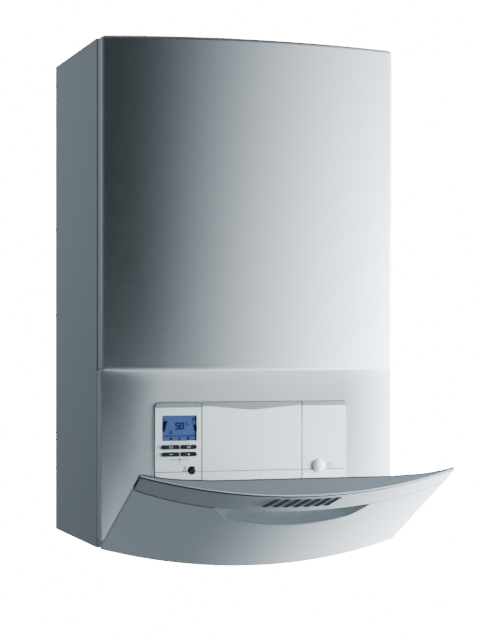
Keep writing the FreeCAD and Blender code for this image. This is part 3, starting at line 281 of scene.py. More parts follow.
def layers(name, rings, looped=False):
    """Closed skin through rings of points."""
    points = [p for ring in rings for p in ring]
    return mesh_object(name, points, skin_faces(len(rings[0]), len(rings), looped))


def upright(name, outline, h0, h1):
    """Prism over an outline in plan, x and y in millimetres."""
    return layers(name, [[spot(x, y, h) for x, y in outline] for h in (h0, h1)])


def facing(name, outline, y0, y1):
    """Prism over an outline seen from the front, x and h in millimetres."""
    return layers(name, [[spot(x, y, h) for x, h in outline] for y in (y0, y1)])


def apply_modifiers(obj):
    graph = bpy.context.evaluated_depsgraph_get()
    mesh = bpy.data.meshes.new_from_object(obj.evaluated_get(graph))
    obj.modifiers.clear()
    obj.data = mesh


def carve(obj, tool):
    """Cut the tool's volume out of a piece and drop the tool."""
    step = obj.modifiers.new("carve", "BOOLEAN")
    step.object = tool
    step.operation = "DIFFERENCE"
    step.solver = "EXACT"
    apply_modifiers(obj)
    bpy.data.objects.remove(tool)


def soften(obj, width, segments=3, angle=35.0):
    step = obj.modifiers.new("soften", "BEVEL")
    step.width = width * MM
    step.segments = segments
    step.limit_method = "ANGLE"
    step.angle_limit = math.radians(angle)
    apply_modifiers(obj)
    return shade(obj)


def shade(obj, angle=40.0):
    """Smooth shading up to an angle, weighed so that large flat faces stay flat."""
    smooth(obj, angle)
    step = obj.modifiers.new("weigh", "WEIGHTED_NORMAL")
    step.keep_sharp = True
    step.weight = 100
    apply_modifiers(obj)
    return obj


def smooth(obj, angle):
    for face in obj.data.polygons:
        face.use_smooth = True
    obj.data.set_sharp_from_angle(angle=math.radians(angle))


def shade_bow(obj, angle=12.0):
    """Plain smooth shading for a bow whose strips were cut: weighing would streak it."""
    smooth(obj, angle)
    if "custom_normal" in obj.data.attributes:
        obj.data.attributes.remove(obj.data.attributes["custom_normal"])
    return obj


def swing():
    pivot = Vector(HINGE)
    turn = Matrix.Rotation(math.radians(FLAP_ANGLE), 4, "X")
    return Matrix.Translation(pivot) @ turn @ Matrix.Translation(-pivot)


def dress(obj, body, slot, tone, *replaced):
    """Give a piece its finish, the body it rides on and the solids it stands for; the slot is not used."""
    obj.data.materials.clear()
    obj.data.materials.append(finish[tone])
    if replaced:
        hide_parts(*replaced)
    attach(obj, body)


def hang(obj, slot, tone, *replaced):
    """Dress a piece of the flap: drawn shut, then swung open about the pins as the frame has it at rest."""
    obj.data.transform(swing())
    dress(obj, "flap", slot, tone, *replaced)


def arc_points(cx, cy, radius, start, stop, count):
    points = []
    for i in range(count + 1):
        turn = math.radians(start + (stop - start) * i / count)
        points.append((cx + radius * math.cos(turn), cy + radius * math.sin(turn)))
    return points


def circle(cx, cy, radius, count=48):
    return arc_points(cx, cy, radius, 0, 360, count)[:-1]


def rounded_rect(x0, x1, h0, h1, radius, count=6):
    corners = [(x1 - radius, h1 - radius, 0), (x0 + radius, h1 - radius, 90),
               (x0 + radius, h0 + radius, 180), (x1 - radius, h0 + radius, 270)]
    points = []
    for cx, cy, start in corners:
        points += arc_points(cx, cy, radius, start, start + 90, count)
    return points


def across(right):
    """Line from its right end through the middle to the mirrored left end."""
    return list(reversed(right)) + [(-x, y) for x, y in right]


def strip_between(near, far):
    """Closed strip between two right halves and their mirror images."""
    return near + across(far) + [(-x, y) for x, y in reversed(near)]


# Materials: every finish is a small node tree on a principled shader

def node_tree(name):
    material = bpy.data.materials.new(name)
    material.use_nodes = True
    tree = material.node_tree
    return material, tree, tree.nodes["Principled BSDF"]


def noise(tree, scale, detail=3.0, roughness=0.55, stretch=(1, 1, 1)):
    place = tree.nodes.new("ShaderNodeTexCoord")
    mapping = tree.nodes.new("ShaderNodeMapping")
    mapping.inputs["Scale"].default_value = stretch
    texture = tree.nodes.new("ShaderNodeTexNoise")
    texture.inputs["Scale"].default_value = scale
    texture.inputs["Detail"].default_value = detail
    texture.inputs["Roughness"].default_value = roughness
    tree.links.new(place.outputs["Object"], mapping.inputs["Vector"])
    tree.links.new(mapping.outputs["Vector"], texture.inputs["Vector"])
    return texture.outputs["Fac"]


def ramp(tree, source, low, high):
    band = tree.nodes.new("ShaderNodeValToRGB")
    band.color_ramp.elements[0].position = 0.3
    band.color_ramp.elements[1].position = 0.7
    band.color_ramp.elements[0].color = low
    band.color_ramp.elements[1].color = high
    tree.links.new(source, band.inputs["Fac"])
    return band.outputs["Color"]


def spread(tree, source, low, high):
    scale = tree.nodes.new("ShaderNodeMapRange")
    scale.inputs["To Min"].default_value = low
    scale.inputs["To Max"].default_value = high
    tree.links.new(source, scale.inputs["Value"])
    return scale.outputs["Result"]


def bump(tree, source, strength, distance):
    relief = tree.nodes.new("ShaderNodeBump")
    relief.inputs["Strength"].default_value = strength
    relief.inputs["Distance"].default_value = distance * MM
    tree.links.new(source, relief.inputs["Height"])
    return relief.outputs["Normal"]


def shaded(color, factor):
    return tuple(min(1.0, c * factor) for c in color) + (1.0,)


def surface(name, color, rough=(0.35, 0.45), vary=0.03, cloud=9.0, grain=900.0, relief=0.05, metal=0.0,
            stretch=(1, 1, 1), coat=0.0, specular=0.5):
    """Painted, moulded or cast surface: cloudy tone, uneven gloss and a fine grain."""
    material, tree, shader = node_tree(name)
    tone = noise(tree, cloud, 4.0, 0.6, stretch)
    fine = noise(tree, grain, 2.0, 0.5, stretch)
    cloudy = ramp(tree, tone, shaded(color, 1 - vary), shaded(color, 1 + vary))
    tree.links.new(cloudy, shader.inputs["Base Color"])
    tree.links.new(spread(tree, fine, rough[0], rough[1]), shader.inputs["Roughness"])
    tree.links.new(bump(tree, fine, relief, 0.05), shader.inputs["Normal"])
    shader.inputs["Metallic"].default_value = metal
    shader.inputs["Coat Weight"].default_value = coat
    shader.inputs["Specular IOR Level"].default_value = specular
    return material


def clear_plastic(name, color):
    material, tree, shader = node_tree(name)
    tone = noise(tree, 14.0, 2.0)
    tree.links.new(ramp(tree, tone, shaded(color, 0.94), shaded(color, 1.05)), shader.inputs["Base Color"])
    tree.links.new(spread(tree, noise(tree, 300.0), 0.16, 0.26), shader.inputs["Roughness"])
    shader.inputs["Transmission Weight"].default_value = 0.12
    shader.inputs["IOR"].default_value = 1.49
    shader.inputs["Coat Weight"].default_value = 0.4
    return material


WHITE = (0.86, 0.87, 0.875)
LENGTHWISE = (1, 1, 14)
DRAWN = (1, 1, 5)
finish = {
    "paint": surface("white_paint", WHITE, (0.30, 0.40), 0.012, 5.0, 1400.0, 0.05, coat=0.1),
    # The white sheet paint made darker for the side and roof sheets: painted shade on those faces.
    "side": surface("side_paint", (0.665, 0.677, 0.685), (0.36, 0.46), 0.012, 5.0, 1400.0, 0.05),
    "moulded": surface("white_moulding", (0.85, 0.86, 0.865), (0.30, 0.42), 0.012, 7.0, 1100.0, 0.05),
    "fascia": surface("fascia_white", (0.83, 0.845, 0.85), (0.34, 0.46), 0.012, 12.0, 1500.0, 0.05),
    "liner": surface("liner_grey", (0.46, 0.49, 0.51), (0.42, 0.55), 0.02, 9.0, 800.0, 0.12),
    # Dark grey for pieces in grooves, gaps and along edges: painted shade where shade falls in them.
    "edge": surface("edge_grey", (0.16, 0.175, 0.185), (0.4, 0.55), 0.05, 25.0, 900.0, 0.1),
    "lid": surface("band_top_grey", (0.56, 0.59, 0.61), (0.38, 0.5), 0.02, 9.0, 900.0, 0.08),
    "grey": surface("strip_grey", (0.235, 0.25, 0.258), (0.35, 0.45), 0.02, 20.0, 1500.0, 0.05),
    "print": surface("print_grey", (0.06, 0.065, 0.07), (0.5, 0.6), 0.02, 40.0, 1500.0, 0.02,
                     specular=0.05),
    "black": surface("key_black", (0.009, 0.010, 0.011), (0.3, 0.42), 0.1, 60.0, 2200.0, 0.06),
    "mark": surface("key_mark_white", (0.46, 0.47, 0.48), (0.45, 0.55), 0.02, 60.0, 1500.0, 0.02),
    # Dark moulding for dark plastic parts; on the band's end caps this dark is painted shade.
    "dark": surface("dark_moulding", (0.055, 0.06, 0.065), (0.4, 0.55), 0.08, 25.0, 900.0, 0.12),
    "rubber": surface("seal_rubber", (0.02, 0.021, 0.022), (0.6, 0.75), 0.1, 40.0, 700.0, 0.2),
    "screen": surface("screen_blue", (0.074, 0.108, 0.26), (0.12, 0.2), 0.05, 30.0, 700.0, 0.0, coat=0.3),
    "digit": surface("screen_dark", (0.006, 0.010, 0.028), (0.5, 0.6), 0.05, 60.0, 900.0, 0.0,
                     specular=0.0),
    "faint": surface("screen_faint", (0.016, 0.025, 0.065), (0.5, 0.6), 0.05, 60.0, 900.0, 0.0,
                     specular=0.0),
    "gloss": surface("button_black", (0.010, 0.011, 0.012), (0.12, 0.2), 0.1, 60.0, 2200.0, 0.02, coat=0.5),
    # Chrome with its colour made dark to stand for shade and dark reflections: painted shade and painted
    # reflection.
    "chrome": surface("bare_chrome", (0.13, 0.135, 0.14), (0.08, 0.16), 0.03, 30.0, 900.0, 0.02, 1.0),
    "zinc": surface("zinc_steel", (0.55, 0.56, 0.575), (0.32, 0.5), 0.1, 35.0, 500.0, 0.08, 0.9),
    "stainless": surface("stainless", (0.62, 0.62, 0.61), (0.2, 0.38), 0.05, 12.0, 260.0, 0.08, 1.0,
                         LENGTHWISE),
    "cast": surface("cast_aluminium", (0.52, 0.53, 0.54), (0.45, 0.62), 0.08, 18.0, 420.0, 0.35, 0.9),
    "brass": surface("brass", (0.62, 0.44, 0.17), (0.22, 0.4), 0.08, 22.0, 500.0, 0.08, 1.0),
    "copper": surface("copper", (0.62, 0.29, 0.17), (0.22, 0.42), 0.1, 18.0, 420.0, 0.06, 1.0, DRAWN),
    "vessel": surface("vessel_red", (0.42, 0.03, 0.025), (0.3, 0.42), 0.05, 9.0, 900.0, 0.1),
    "board": surface("board_green", (0.02, 0.13, 0.055), (0.35, 0.5), 0.12, 45.0, 900.0, 0.08),
    "grip": clear_plastic("grip_clear", (0.62, 0.66, 0.69)),
}

# Solids that stay visible get the finish of their slot
SLOT_FINISH = {
    "white_sheet": "paint", "white_plastic": "moulded", "grey_plastic": "grey", "dark_plastic": "dark",
    "clear_plastic": "grip", "screen": "screen", "rubber": "rubber", "zinc_steel": "zinc",
    "stainless": "stainless", "cast_aluminium": "cast", "brass": "brass", "copper_pipe": "copper",
    "red_vessel": "vessel", "board": "board",
}
for part in frame["record"]["subparts"]:
    solid = nodes[part["node"]]
    solid.data.materials.clear()
    solid.data.materials.append(finish[SLOT_FINISH[part["material_slot"]]])


# Outlines in plan

def bow_y(x, inset):
    return BOW_CENTRE - math.sqrt((BOW_RADIUS - inset) ** 2 - x * x)


def bow_points(half, inset, count=64):
    return [(x, bow_y(x, inset)) for x in (half * (2 * i / count - 1) for i in range(count + 1))]


def upper_outline(inset):
    """Rear edge, side, rounded corner and bow; the left half is the right one mirrored."""
    half = HALF_WIDTH - inset
    radius = CORNER_RADIUS - inset
    reach = BOW_RADIUS - inset - radius
    corner_x = half - radius
    corner_y = BOW_CENTRE - math.sqrt(reach ** 2 - corner_x ** 2)
    lean = math.degrees(math.atan2(corner_y - BOW_CENTRE, corner_x))
    join = corner_x + radius * math.cos(math.radians(lean))
    right = arc_points(corner_x, corner_y, radius, lean, 0, 8)
    bow = bow_points(join, inset)
    left = [(-x, y) for x, y in reversed(right)]
    return [(-half, COVER_BACK)] + left + bow[1:-1] + right + [(half, COVER_BACK)]


def lower_outline(inset):
    """Flat middle, swept ends and rounded corners of the face behind the flap."""
    half = HALF_WIDTH - inset
    drop = LOWER_REACH + LOWER_EDGE_BACK
    radius = ((HALF_WIDTH - LOWER_FLAT) ** 2 + drop ** 2) / (2 * drop) - inset
    middle = LOWER_FACE + inset
    corner = LOWER_CORNER - inset
    corner_x = half - corner
    corner_y = middle + radius - math.sqrt((radius - corner) ** 2 - (corner_x - LOWER_FLAT) ** 2)
    lean = math.degrees(math.atan2(corner_y - middle - radius, corner_x - LOWER_FLAT))
    right = arc_points(LOWER_FLAT, middle + radius, radius, -90, lean, 16)
    right += arc_points(corner_x, corner_y, corner, lean, 0, 8)[1:]
    right.append((half, COVER_BACK))
    left = [(-x, y) for x, y in reversed(right)]
    return left + right


def wing_y(x):
    t = (x - FLAP_SHOULDER) / (FLAP_HALF - FLAP_SHOULDER)
    bend = 4 * t * (1 - t) * (FLAP_HALF - FLAP_SHOULDER) * WING_BELLY
    return FLAP_SHOULDER_Y + (FLAP_EDGE - FLAP_SHOULDER_Y) * t - bend


def inner_points(half, shift=0.0, count=12):
    """Right half of the flap's inner face: flat middle, shoulder and curved wing."""
    wing = [FLAP_SHOULDER + (half - FLAP_SHOULDER) * i / count for i in range(count + 1)]
    return [(FLAP_FLAT, FLAP_INNER + shift)] + [(x, wing_y(x) + shift) for x in wing]


def lip_points(half, shift=0.0):
    """Inner edge of the lid: it stands out over the liner, most in the middle."""
    return [(x, y + LIP * (1 - (x / FLAP_HALF) ** 2) + shift) for x, y in inner_points(half)]


def flap_outline(inset, half=FLAP_HALF):
    """Closed outline of the shut flap: bowed front, thin wings and flat middle behind."""
    return bow_points(half, inset, 90) + across(inner_points(half))


def flap_void(h0, h1):
    """Hollow behind the flap's front wall, between the wings."""
    outline = bow_points(WING_START, FLAP_WALL) + [(WING_START, CORNER), (-WING_START, CORNER)]
    return upright("void", outline, h0, h1)


# Casing

def casing_pieces():
    upper = upright("cover_upper", upper_outline(0), LEDGE, CASE_HEIGHT)
    soften(upper, LEDGE_ROUND, 5, 50)
    carve(upper, upright("void", upper_outline(COVER_WALL), LEDGE + COVER_WALL, CASE_HEIGHT - COVER_WALL))
    dress(shade(upper, 32), "casing", "white_sheet", "paint", "front_cover")
    lower = upright("cover_lower", lower_outline(0), COVER_LOW, LEDGE + COVER_WALL / 2)
    carve(lower, upright("void", lower_outline(COVER_WALL), COVER_LOW - OVER, LEDGE + OVER))
    opening = rounded_rect(-PANEL_HALF - SHADOW_GAP, PANEL_HALF + SHADOW_GAP, PANEL_LOW - FIT,
                           PANEL_TOP + SHADOW_GAP, PANEL_CORNER + SHADOW_GAP)
    carve(lower, facing("void", opening, LOWER_FACE - OVER, LOWER_FACE + PANEL_WELL))
    dress(shade(lower, 32), "casing", "white_sheet", "paint")
    cover_rim()
    for side, node in ((-1, "left_side_panel"), (1, "right_side_panel")):
        side_sheet(side, node)
    top_sheet()


def cover_rim():
    """Folded rear rim of the cover."""
    half = HALF_WIDTH - COVER_WALL + RIM_LAP
    outer = rounded_rect(-half, half, COVER_LOW, CASE_HEIGHT - COVER_WALL + RIM_LAP, RIM_CORNERS[0])
    inner = rounded_rect(-half + RIM, half - RIM, COVER_LOW + RIM, CASE_HEIGHT - RIM, RIM_CORNERS[1])
    rim = facing("cover_rim", outer, COVER_BACK - COVER_WALL, COVER_BACK)
    carve(rim, facing("void", inner, COVER_BACK - COVER_WALL - OVER, COVER_BACK + OVER))
    dress(soften(rim, MOULD_EDGE, 2), "casing", "white_sheet", "paint")


def side_sheet(side, node):
    """Side sheet folded in at its front edge round a soft bend."""
    low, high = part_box(node)
    edge = low.y / MM
    back = high.y / MM
    bend_x = HALF_WIDTH - SHEET_BEND
    fold_x = HALF_WIDTH - SHEET_FOLD
    outline = [(HALF_WIDTH, back)]
    outline += arc_points(bend_x, edge + SHEET_BEND, SHEET_BEND, 0, -90, 8)
    outline += [(fold_x, edge), (fold_x, edge + SHEET)]
    outline += arc_points(bend_x, edge + SHEET_BEND, SHEET_BEND - SHEET, -90, 0, 8)
    outline += [(HALF_WIDTH - SHEET, back)]
    name = "side_sheet_" + node.split("_")[0]
    sheet = upright(name, [(side * x, y) for x, y in outline], 0, CASE_HEIGHT)
    soften(sheet, SHEET_EDGE, 2)
    dress(sheet, "casing", "white_sheet", "side", node)


def top_sheet():
    """Roof with its flue opening and a folded front edge."""
    low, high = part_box("top_panel")
    half = high.x / MM
    edge = low.y / MM
    back = high.y / MM
    outline = [(-half, back), (-half, edge), (half, edge), (half, back)]
    sheet = upright("roof_sheet", outline, CASE_HEIGHT - SHEET, CASE_HEIGHT)
    low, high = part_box("flue_adapter")
    flue_y = (low.y + high.y) / 2 / MM
    flue_radius = (high.x - low.x) / 2 / MM
    opening = circle(0, flue_y, flue_radius - FLUE_LAP, 96)
    carve(sheet, upright("void", opening, CASE_HEIGHT - SHEET - OVER, CASE_HEIGHT + OVER))
    inner = half - SHEET_FOLD
    fold = rounded_rect(-inner, inner, CASE_HEIGHT - SHEET_FOLD, CASE_HEIGHT - SHEET, SHEET_BEND)
    flange = facing("roof_fold", fold, edge, edge + SHEET)
    dress(soften(flange, FOLD_EDGE, 2), "casing", "white_sheet", "side")
    dress(soften(sheet, SHEET_EDGE, 2), "casing", "white_sheet", "side", "top_panel")


# Flap, drawn shut; every piece is swung open at the end

def flap_pieces():
    panel = upright("flap_front", flap_outline(0), FLAP_LOW, BAND_LOW + 2 * BAND_RISE)
    carve(panel, flap_void(FLAP_LOW + FLAP_FLOOR, OVER_JOINT))
    soften(panel, FLAP_ROUND, 3, 50)
    carve(panel, facing("void", grip_path(0), CORNER - 2 * BOW, FLAP_INNER))
    for side in (-1, 1):
        carve(panel, rod_across(side * EAR_NOTCH[0], side * EAR_NOTCH[1], EAR_RADIUS + 2 * FIT))
    carve(panel, joint_cutter(0.0, OVER_JOINT))
    hang(shade_bow(panel), "white_plastic", "moulded", "flap_panel")
    for side in (-1, 1):
        hang(hinge_boss(side), "white_plastic", "moulded")
    band_skin()
    band_filler()
    band_core()
    band_lid()
    band_caps()
    trim_bars()
    flap_back()
    grip_scoop()


def rod_across(x0, x1, radius):
    """Round bar along the hinge axis."""
    path = circle(HINGE_Y, HINGE_H, radius, 40)
    return layers("void", [[spot(x, y, h) for y, h in path] for x in (x0, x1)])


def hinge_boss(side):
    """Bored boss on the hinge axis with a rounded inner edge."""
    stop = FLAP_HALF - FLAP_WALL
    steps = ((BOSS_START, BOSS_BORE), (BOSS_START, BOSS_RADIUS - BOSS_ROUND),
             (BOSS_START + BOSS_ROUND, BOSS_RADIUS), (stop, BOSS_RADIUS), (stop, BOSS_BORE))
    rings = []
    for x, radius in steps:
        rings.append([spot(side * x, y, h) for y, h in circle(HINGE_Y, HINGE_H, radius, 32)])
    tag = "right" if side > 0 else "left"
    return shade(layers("hinge_boss_" + tag, rings, looped=True))


def joint_h(x):
    """Height of the joint under the band: level over the grip, rising to both ends."""
    past = max(0.0, abs(x) - GRIP_HALF) / (FLAP_HALF - GRIP_HALF)
    return BAND_LOW + BAND_RISE * past ** 2


def joint_cutter(gap, far):
    """Everything between the joint line, moved up by the gap, and the far height."""
    reach = FLAP_HALF + 2 * OVER
    line = [reach * (i / 60 - 1) for i in range(121)]
    outline = [(x, joint_h(x) + gap) for x in line] + [(reach, far), (-reach, far)]
    return facing("void", outline, CORNER - 2 * BOW, CORNER + BOW)


def band_lean(h):
    return BAND_LEAN * (h - BAND_LOW) / (FLAP_TOP - BAND_LOW)


def band_ring(h, inset=0.0):
    outline = flap_outline(band_lean(h) + inset, BAND_HALF - inset)
    return [spot(x, y, h) for x, y in outline]


def band_skin():
    """Leaning front of the band, from the curved joint up to the groove."""
    band = layers("flap_band_skin", [band_ring(h) for h in (BAND_ROOT, BAND_TOP)])
    carve(band, flap_void(UNDER_JOINT, BAND_TOP - FLAP_WALL))
    soften(band, CRISP_EDGE, 2, 50)
    carve(band, joint_cutter(BAND_JOINT, UNDER_JOINT))
    hang(shade_bow(band), "white_plastic", "moulded", "flap_band")


def band_filler():
    """Dark filler set back in the joint, at both sides of the grip: painted shade in the joint."""
    heights = (BAND_ROOT, BAND_LOW + 2 * BAND_RISE)
    filler = layers("band_joint", [band_ring(h, JOINT_INSET) for h in heights])
    carve(filler, flap_void(UNDER_JOINT, OVER_JOINT))
    carve(filler, joint_cutter(BAND_JOINT - JOINT_PLAY, OVER_JOINT))
    carve(filler, joint_cutter(JOINT_PLAY, UNDER_JOINT))
    middle = [(-GRIP_HALF, UNDER_JOINT), (GRIP_HALF, UNDER_JOINT), (GRIP_HALF, FLAP_TOP),
              (-GRIP_HALF, FLAP_TOP)]
    carve(filler, facing("void", middle, CORNER - 2 * BOW, CORNER + BOW))
    hang(shade_bow(filler), "dark_plastic", "edge")


def band_core():
    """Dark piece at the bottom of the groove, with a flange over the band's top face: painted shade in the groove.
    """
    steps = ((0.02, CRISP_EDGE), (GROOVE_FLANGE, CRISP_EDGE), (GROOVE_FLANGE, GROOVE_DEEP),
             (RIM_HEIGHT + GROOVE_WIDTH - 1, GROOVE_DEEP))
    core = layers("band_groove", [band_ring(BAND_TOP + rise, inset) for rise, inset in steps])
    hang(shade(core, 30), "dark_plastic", "edge")


def band_lid():
    """Pale rim over the groove, grey lid inside it and a dark strip along the inner side, painted shade at that
    edge.
    """
    back = across(lip_points(BAND_HALF))
    rings = []
    for drop, inset in ((RIM_HEIGHT, 0.0), (0.9, 0.0), (0.45, 0.35), (0.3, EDGE_ROUND)):
        front = bow_points(BAND_HALF, BAND_LEAN + inset, 96)
        rings.append([spot(x, y, FLAP_TOP - drop) for x, y in front + back])
    hang(shade(layers("band_rim", rings)), "white_plastic", "moulded")
    near = BAND_HALF - EDGE_ROUND
    edge = lip_points(near)
    inner = lip_points(near, -EDGE_STRIP)
    front = bow_points(near, BAND_LEAN + EDGE_ROUND + FIT, 96)
    lid = upright("band_lid", front + across(inner), LID_LOW, LID_TOP)
    hang(shade(lid, 30), "white_plastic", "lid")
    # The dark strip along the lid's inner edge is painted shade.
    strip = upright("band_inner_edge", strip_between(edge, inner), LID_LOW, FLAP_TOP)
    hang(shade(strip, 30), "dark_plastic", "edge")


def band_caps():
    """Thin dark caps on the band's ends; their dark is painted shade on the end faces."""
    start = BAND_HALF + 0.1
    steps = ((joint_h(FLAP_HALF) + BAND_JOINT, 0.0), (FLAP_TOP - FIT, BAND_LEAN))
    for side, tag in ((-1, "left"), (1, "right")):
        rings = []
        for h, inset in steps:
            corners = [(start, bow_y(BAND_HALF, inset)), (FLAP_HALF, bow_y(FLAP_HALF, inset)),
                       (FLAP_HALF, wing_y(FLAP_HALF)), (start, wing_y(BAND_HALF))]
            rings.append([spot(side * x, y, h) for x, y in corners])
        cap = soften(layers("band_cap_" + tag, rings), CRISP_EDGE, 2)
        replaced = ["band_end_caps"] if side < 0 else []
        hang(cap, "dark_plastic", "dark", *replaced)


def trim_bars():
    """Row of plain slanted chrome bars on the band, their colour darkened as painted shade and painted reflection.
    """
    step = (TRIM_X[1] - TRIM_X[0] - TRIM_WIDTH) / (TRIM_COUNT - 1)
    for i in range(TRIM_COUNT):
        start = TRIM_X[0] + step * i
        rings = []
        for inset, proud in TRIM_RINGS:
            ring = []
            for side, level in ((0, -1), (1, -1), (1, 1), (0, 1)):
                h = TRIM_H + level * (TRIM_RISE - inset)
                x = start + side * TRIM_WIDTH + (inset if side == 0 else -inset)
                x += TRIM_SLANT * (h - TRIM_H) / (2 * TRIM_RISE)
                ring.append(spot(x, bow_y(x, band_lean(h)) - proud, h))
            rings.append(ring)
        piece = shade(layers("trim_bar_%d" % (i + 1), rings), 30)
        hang(piece, "zinc_steel", "chrome")


def flap_back():
    """Inner liner between the wings."""
    half = WING_START - FIT
    outline = strip_between(inner_points(half), inner_points(half, -LINER))
    liner = upright("flap_liner_skin", outline, FLAP_LOW + FLAP_FLOOR, FLAP_TOP - FLAP_WALL)
    soften(liner, MOULD_EDGE, 2, 50)
    hang(shade(liner, 30), "white_plastic", "liner", "flap_liner")


def grip_path(inset, count=20):
    """Outline of the grip in x and h: straight top, curved flanks, round belly."""
    top = BAND_LOW - inset
    wide = GRIP_HALF - inset
    waist = GRIP_WAIST - inset
    hip = BAND_LOW - GRIP_SHOULDER
    low = BAND_LOW - GRIP_DEPTH + inset
    right = []
    for i in range(count):
        t = i / count
        bulge = 4 * t * (1 - t) * GRIP_BULGE
        right.append((wide + (waist - wide) * t + bulge, top + (hip - top) * t))
    rise = hip - low
    radius = (waist ** 2 + rise ** 2) / (2 * rise)
    reach = math.degrees(math.asin(waist / radius))
    belly = arc_points(0, low + radius, radius, -90 + reach, -90 - reach, 2 * count)
    return right + belly + [(-x, h) for x, h in reversed(right)]


def grip_scoop():
    """Clear scoop: flush rim on the bow, sloping wall, raised inner ring and a dished floor."""
    rings = [[spot(x, GRIP_FLOOR + GRIP_FLOOR_WALL, h) for x, h in grip_path(FIT)]]
    for inset, depth in GRIP_RIM:
        rings.append([spot(x, bow_y(x, depth), h) for x, h in grip_path(inset)])
    for inset, share in GRIP_WELL:
        ring = []
        for x, h in grip_path(inset):
            lip = bow_y(x, GRIP_LIP)
            ring.append(spot(x, lip + (GRIP_FLOOR - lip) * share, h))
        rings.append(ring)
    skin = shade(layers("grip_scoop", rings), 50)
    hang(skin, "clear_plastic", "grip", "grip_insert")


# Control panel

def key_path(round_x, flat_x, h):
    """Pill with a round outer end and a gently bowed inner end."""
    side = 1 if flat_x > round_x else -1
    span = abs(flat_x - round_x)
    outer = arc_points(KEY_HALF, 0, KEY_HALF, 270, 90, 16)
    rise = (KEY_HALF ** 2 + KEY_BULGE ** 2) / (2 * KEY_BULGE)
    reach = math.degrees(math.asin(KEY_HALF / rise))
    inner = arc_points(span - rise, 0, rise, reach, -reach, 10)
    return [(round_x + side * x, h + y) for x, y in outer + inner]


def grown(points, amount):
    """Outline moved outwards along its corner normals, counted clockwise or not."""
    area = sum(a[0] * b[1] - b[0] * a[1] for a, b in zip(points, points[1:] + points[:1]))
    turn = 1 if area > 0 else -1
    moved = []
    total = len(points)
    for i, (x, h) in enumerate(points):
        before = points[i - 1]
        after = points[(i + 1) % total]
        dx = after[0] - before[0]
        dh = after[1] - before[1]
        size = math.hypot(dx, dh) or 1.0
        moved.append((x + turn * amount * dh / size, h - turn * amount * dx / size))
    return moved


def pad(name, outline, y0, y1, edge, steps=4):
    """Flat piece with a rounded front edge; y1 is its front."""
    rings = [[spot(x, y0, h) for x, h in outline]]
    for i in range(steps + 1):
        turn = math.radians(90 * i / steps)
        inset = edge * (1 - math.cos(turn))
        y = y1 + edge * (1 - math.sin(turn))
        rings.append([spot(x, y, h) for x, h in grown(outline, -inset)])
    return shade(layers(name, rings))


def hole(outline, deep=PANEL_DEEP + HOLE_OVER):
    return facing("void", outline, PANEL_FACE - HOLE_OVER, PANEL_FACE + deep)


def module(name, x0, x1, tools, node, corner):
    """One of the three faces; corner -1 or 1 rounds its upper left or right corner."""
    corner_h = PANEL_TOP - PANEL_CORNER
    outline = [(x0, PANEL_LOW), (x1, PANEL_LOW)]
    if corner > 0:
        outline += arc_points(x1 - PANEL_CORNER, corner_h, PANEL_CORNER, 0, 90, 8)
    else:
        outline.append((x1, PANEL_TOP))
    if corner < 0:
        outline += arc_points(x0 + PANEL_CORNER, corner_h, PANEL_CORNER, 90, 180, 8)
    else:
        outline.append((x0, PANEL_TOP))
    face = facing(name, outline, PANEL_FACE, PANEL_FACE + PANEL_DEEP)
    low = LINE_H - LINE_HALF
    high = LINE_H + LINE_HALF
    groove = [(x0 - OVER, low), (x1 + OVER, low), (x1 + OVER, high), (x0 - OVER, high)]
    carve(face, facing("void", groove, PANEL_FACE - OVER, PANEL_FACE + LINE_DEEP))
    for tool in tools:
        carve(face, tool)
    soften(face, CRISP_EDGE, 2, 40)
    dress(face, "casing", "white_plastic", "fascia", node)


def strip_path(which):
    """Grey inlay along the panel's top; the middle one hangs down in a pointed belly."""
    if which == "middle":
        half = SEAM_HALF - JOINT_HALF
        full = math.hypot(1, STRIP_VERTEX)
        low = []
        for i in range(49):
            t = i / 24 - 1
            belly = ((full - math.hypot(t, STRIP_VERTEX)) / (full - STRIP_VERTEX)) ** STRIP_POWER
            low.append((half * t, PANEL_TOP - STRIP_END - (STRIP_MIDDLE - STRIP_END) * belly))
        return low + [(half, PANEL_TOP), (-half, PANEL_TOP)]
    side = -1 if which == "left" else 1
    start = SEAM_HALF + JOINT_HALF
    low = PANEL_TOP - (STRIP_LEFT if which == "left" else STRIP_RIGHT)
    outline = [(start, low), (PANEL_HALF, low)]
    outline += arc_points(PANEL_HALF - PANEL_CORNER, PANEL_TOP - PANEL_CORNER, PANEL_CORNER, 0, 90, 8)
    outline.append((start, PANEL_TOP))
    return [(side * x, h) for x, h in outline]


def panel_pieces():
    inner = SEAM_HALF - JOINT_HALF
    outer = SEAM_HALF + JOINT_HALF
    key_holes = [hole(grown(key_path(*KEYS[key]), FIT)) for key in KEYS]
    screen_hole = hole(rounded_rect(*SCREEN, SCREEN_CORNER, 4))
    reset_hole = hole(circle(RESET_X, RESET_H, RESET_R + FIT))
    left_tools = key_holes + [screen_hole, reset_hole, hole(strip_path("left"), STRIP_DEEP)]
    module("display_face", -PANEL_HALF, -outer, left_tools, "display_fascia", -1)
    module("centre_face", -inner, inner, [hole(strip_path("middle"), STRIP_DEEP)], "centre_fascia", 0)
    power_hole = hole(circle(POWER_X, POWER_H, POWER_R + FIT))
    right_tools = [power_hole, hole(strip_path("right"), STRIP_DEEP)]
    module("switch_face", outer, PANEL_HALF, right_tools, "switch_fascia", 1)
    for which in ("left", "middle", "right"):
        strip = pad("strip_" + which, grown(strip_path(which), -STRIP_FIT),
                    PANEL_FACE + STRIP_DEEP - STRIP_LEVEL, PANEL_FACE + STRIP_LEVEL, STRIP_ROUND)
        replaced = ["fascia_strips"] if which == "left" else []
        dress(strip, "casing", "grey_plastic", "grey", *replaced)
    screen_pieces()
    key_pieces()
    panel_line()
    panel_prints()
    button_pieces()


# Printed signs, each an outline in x and h

def bar(x, h, width, height):
    radius = min(width, height) * 0.2
    return rounded_rect(x - width / 2, x + width / 2, h - height / 2, h + height / 2, radius, 2)


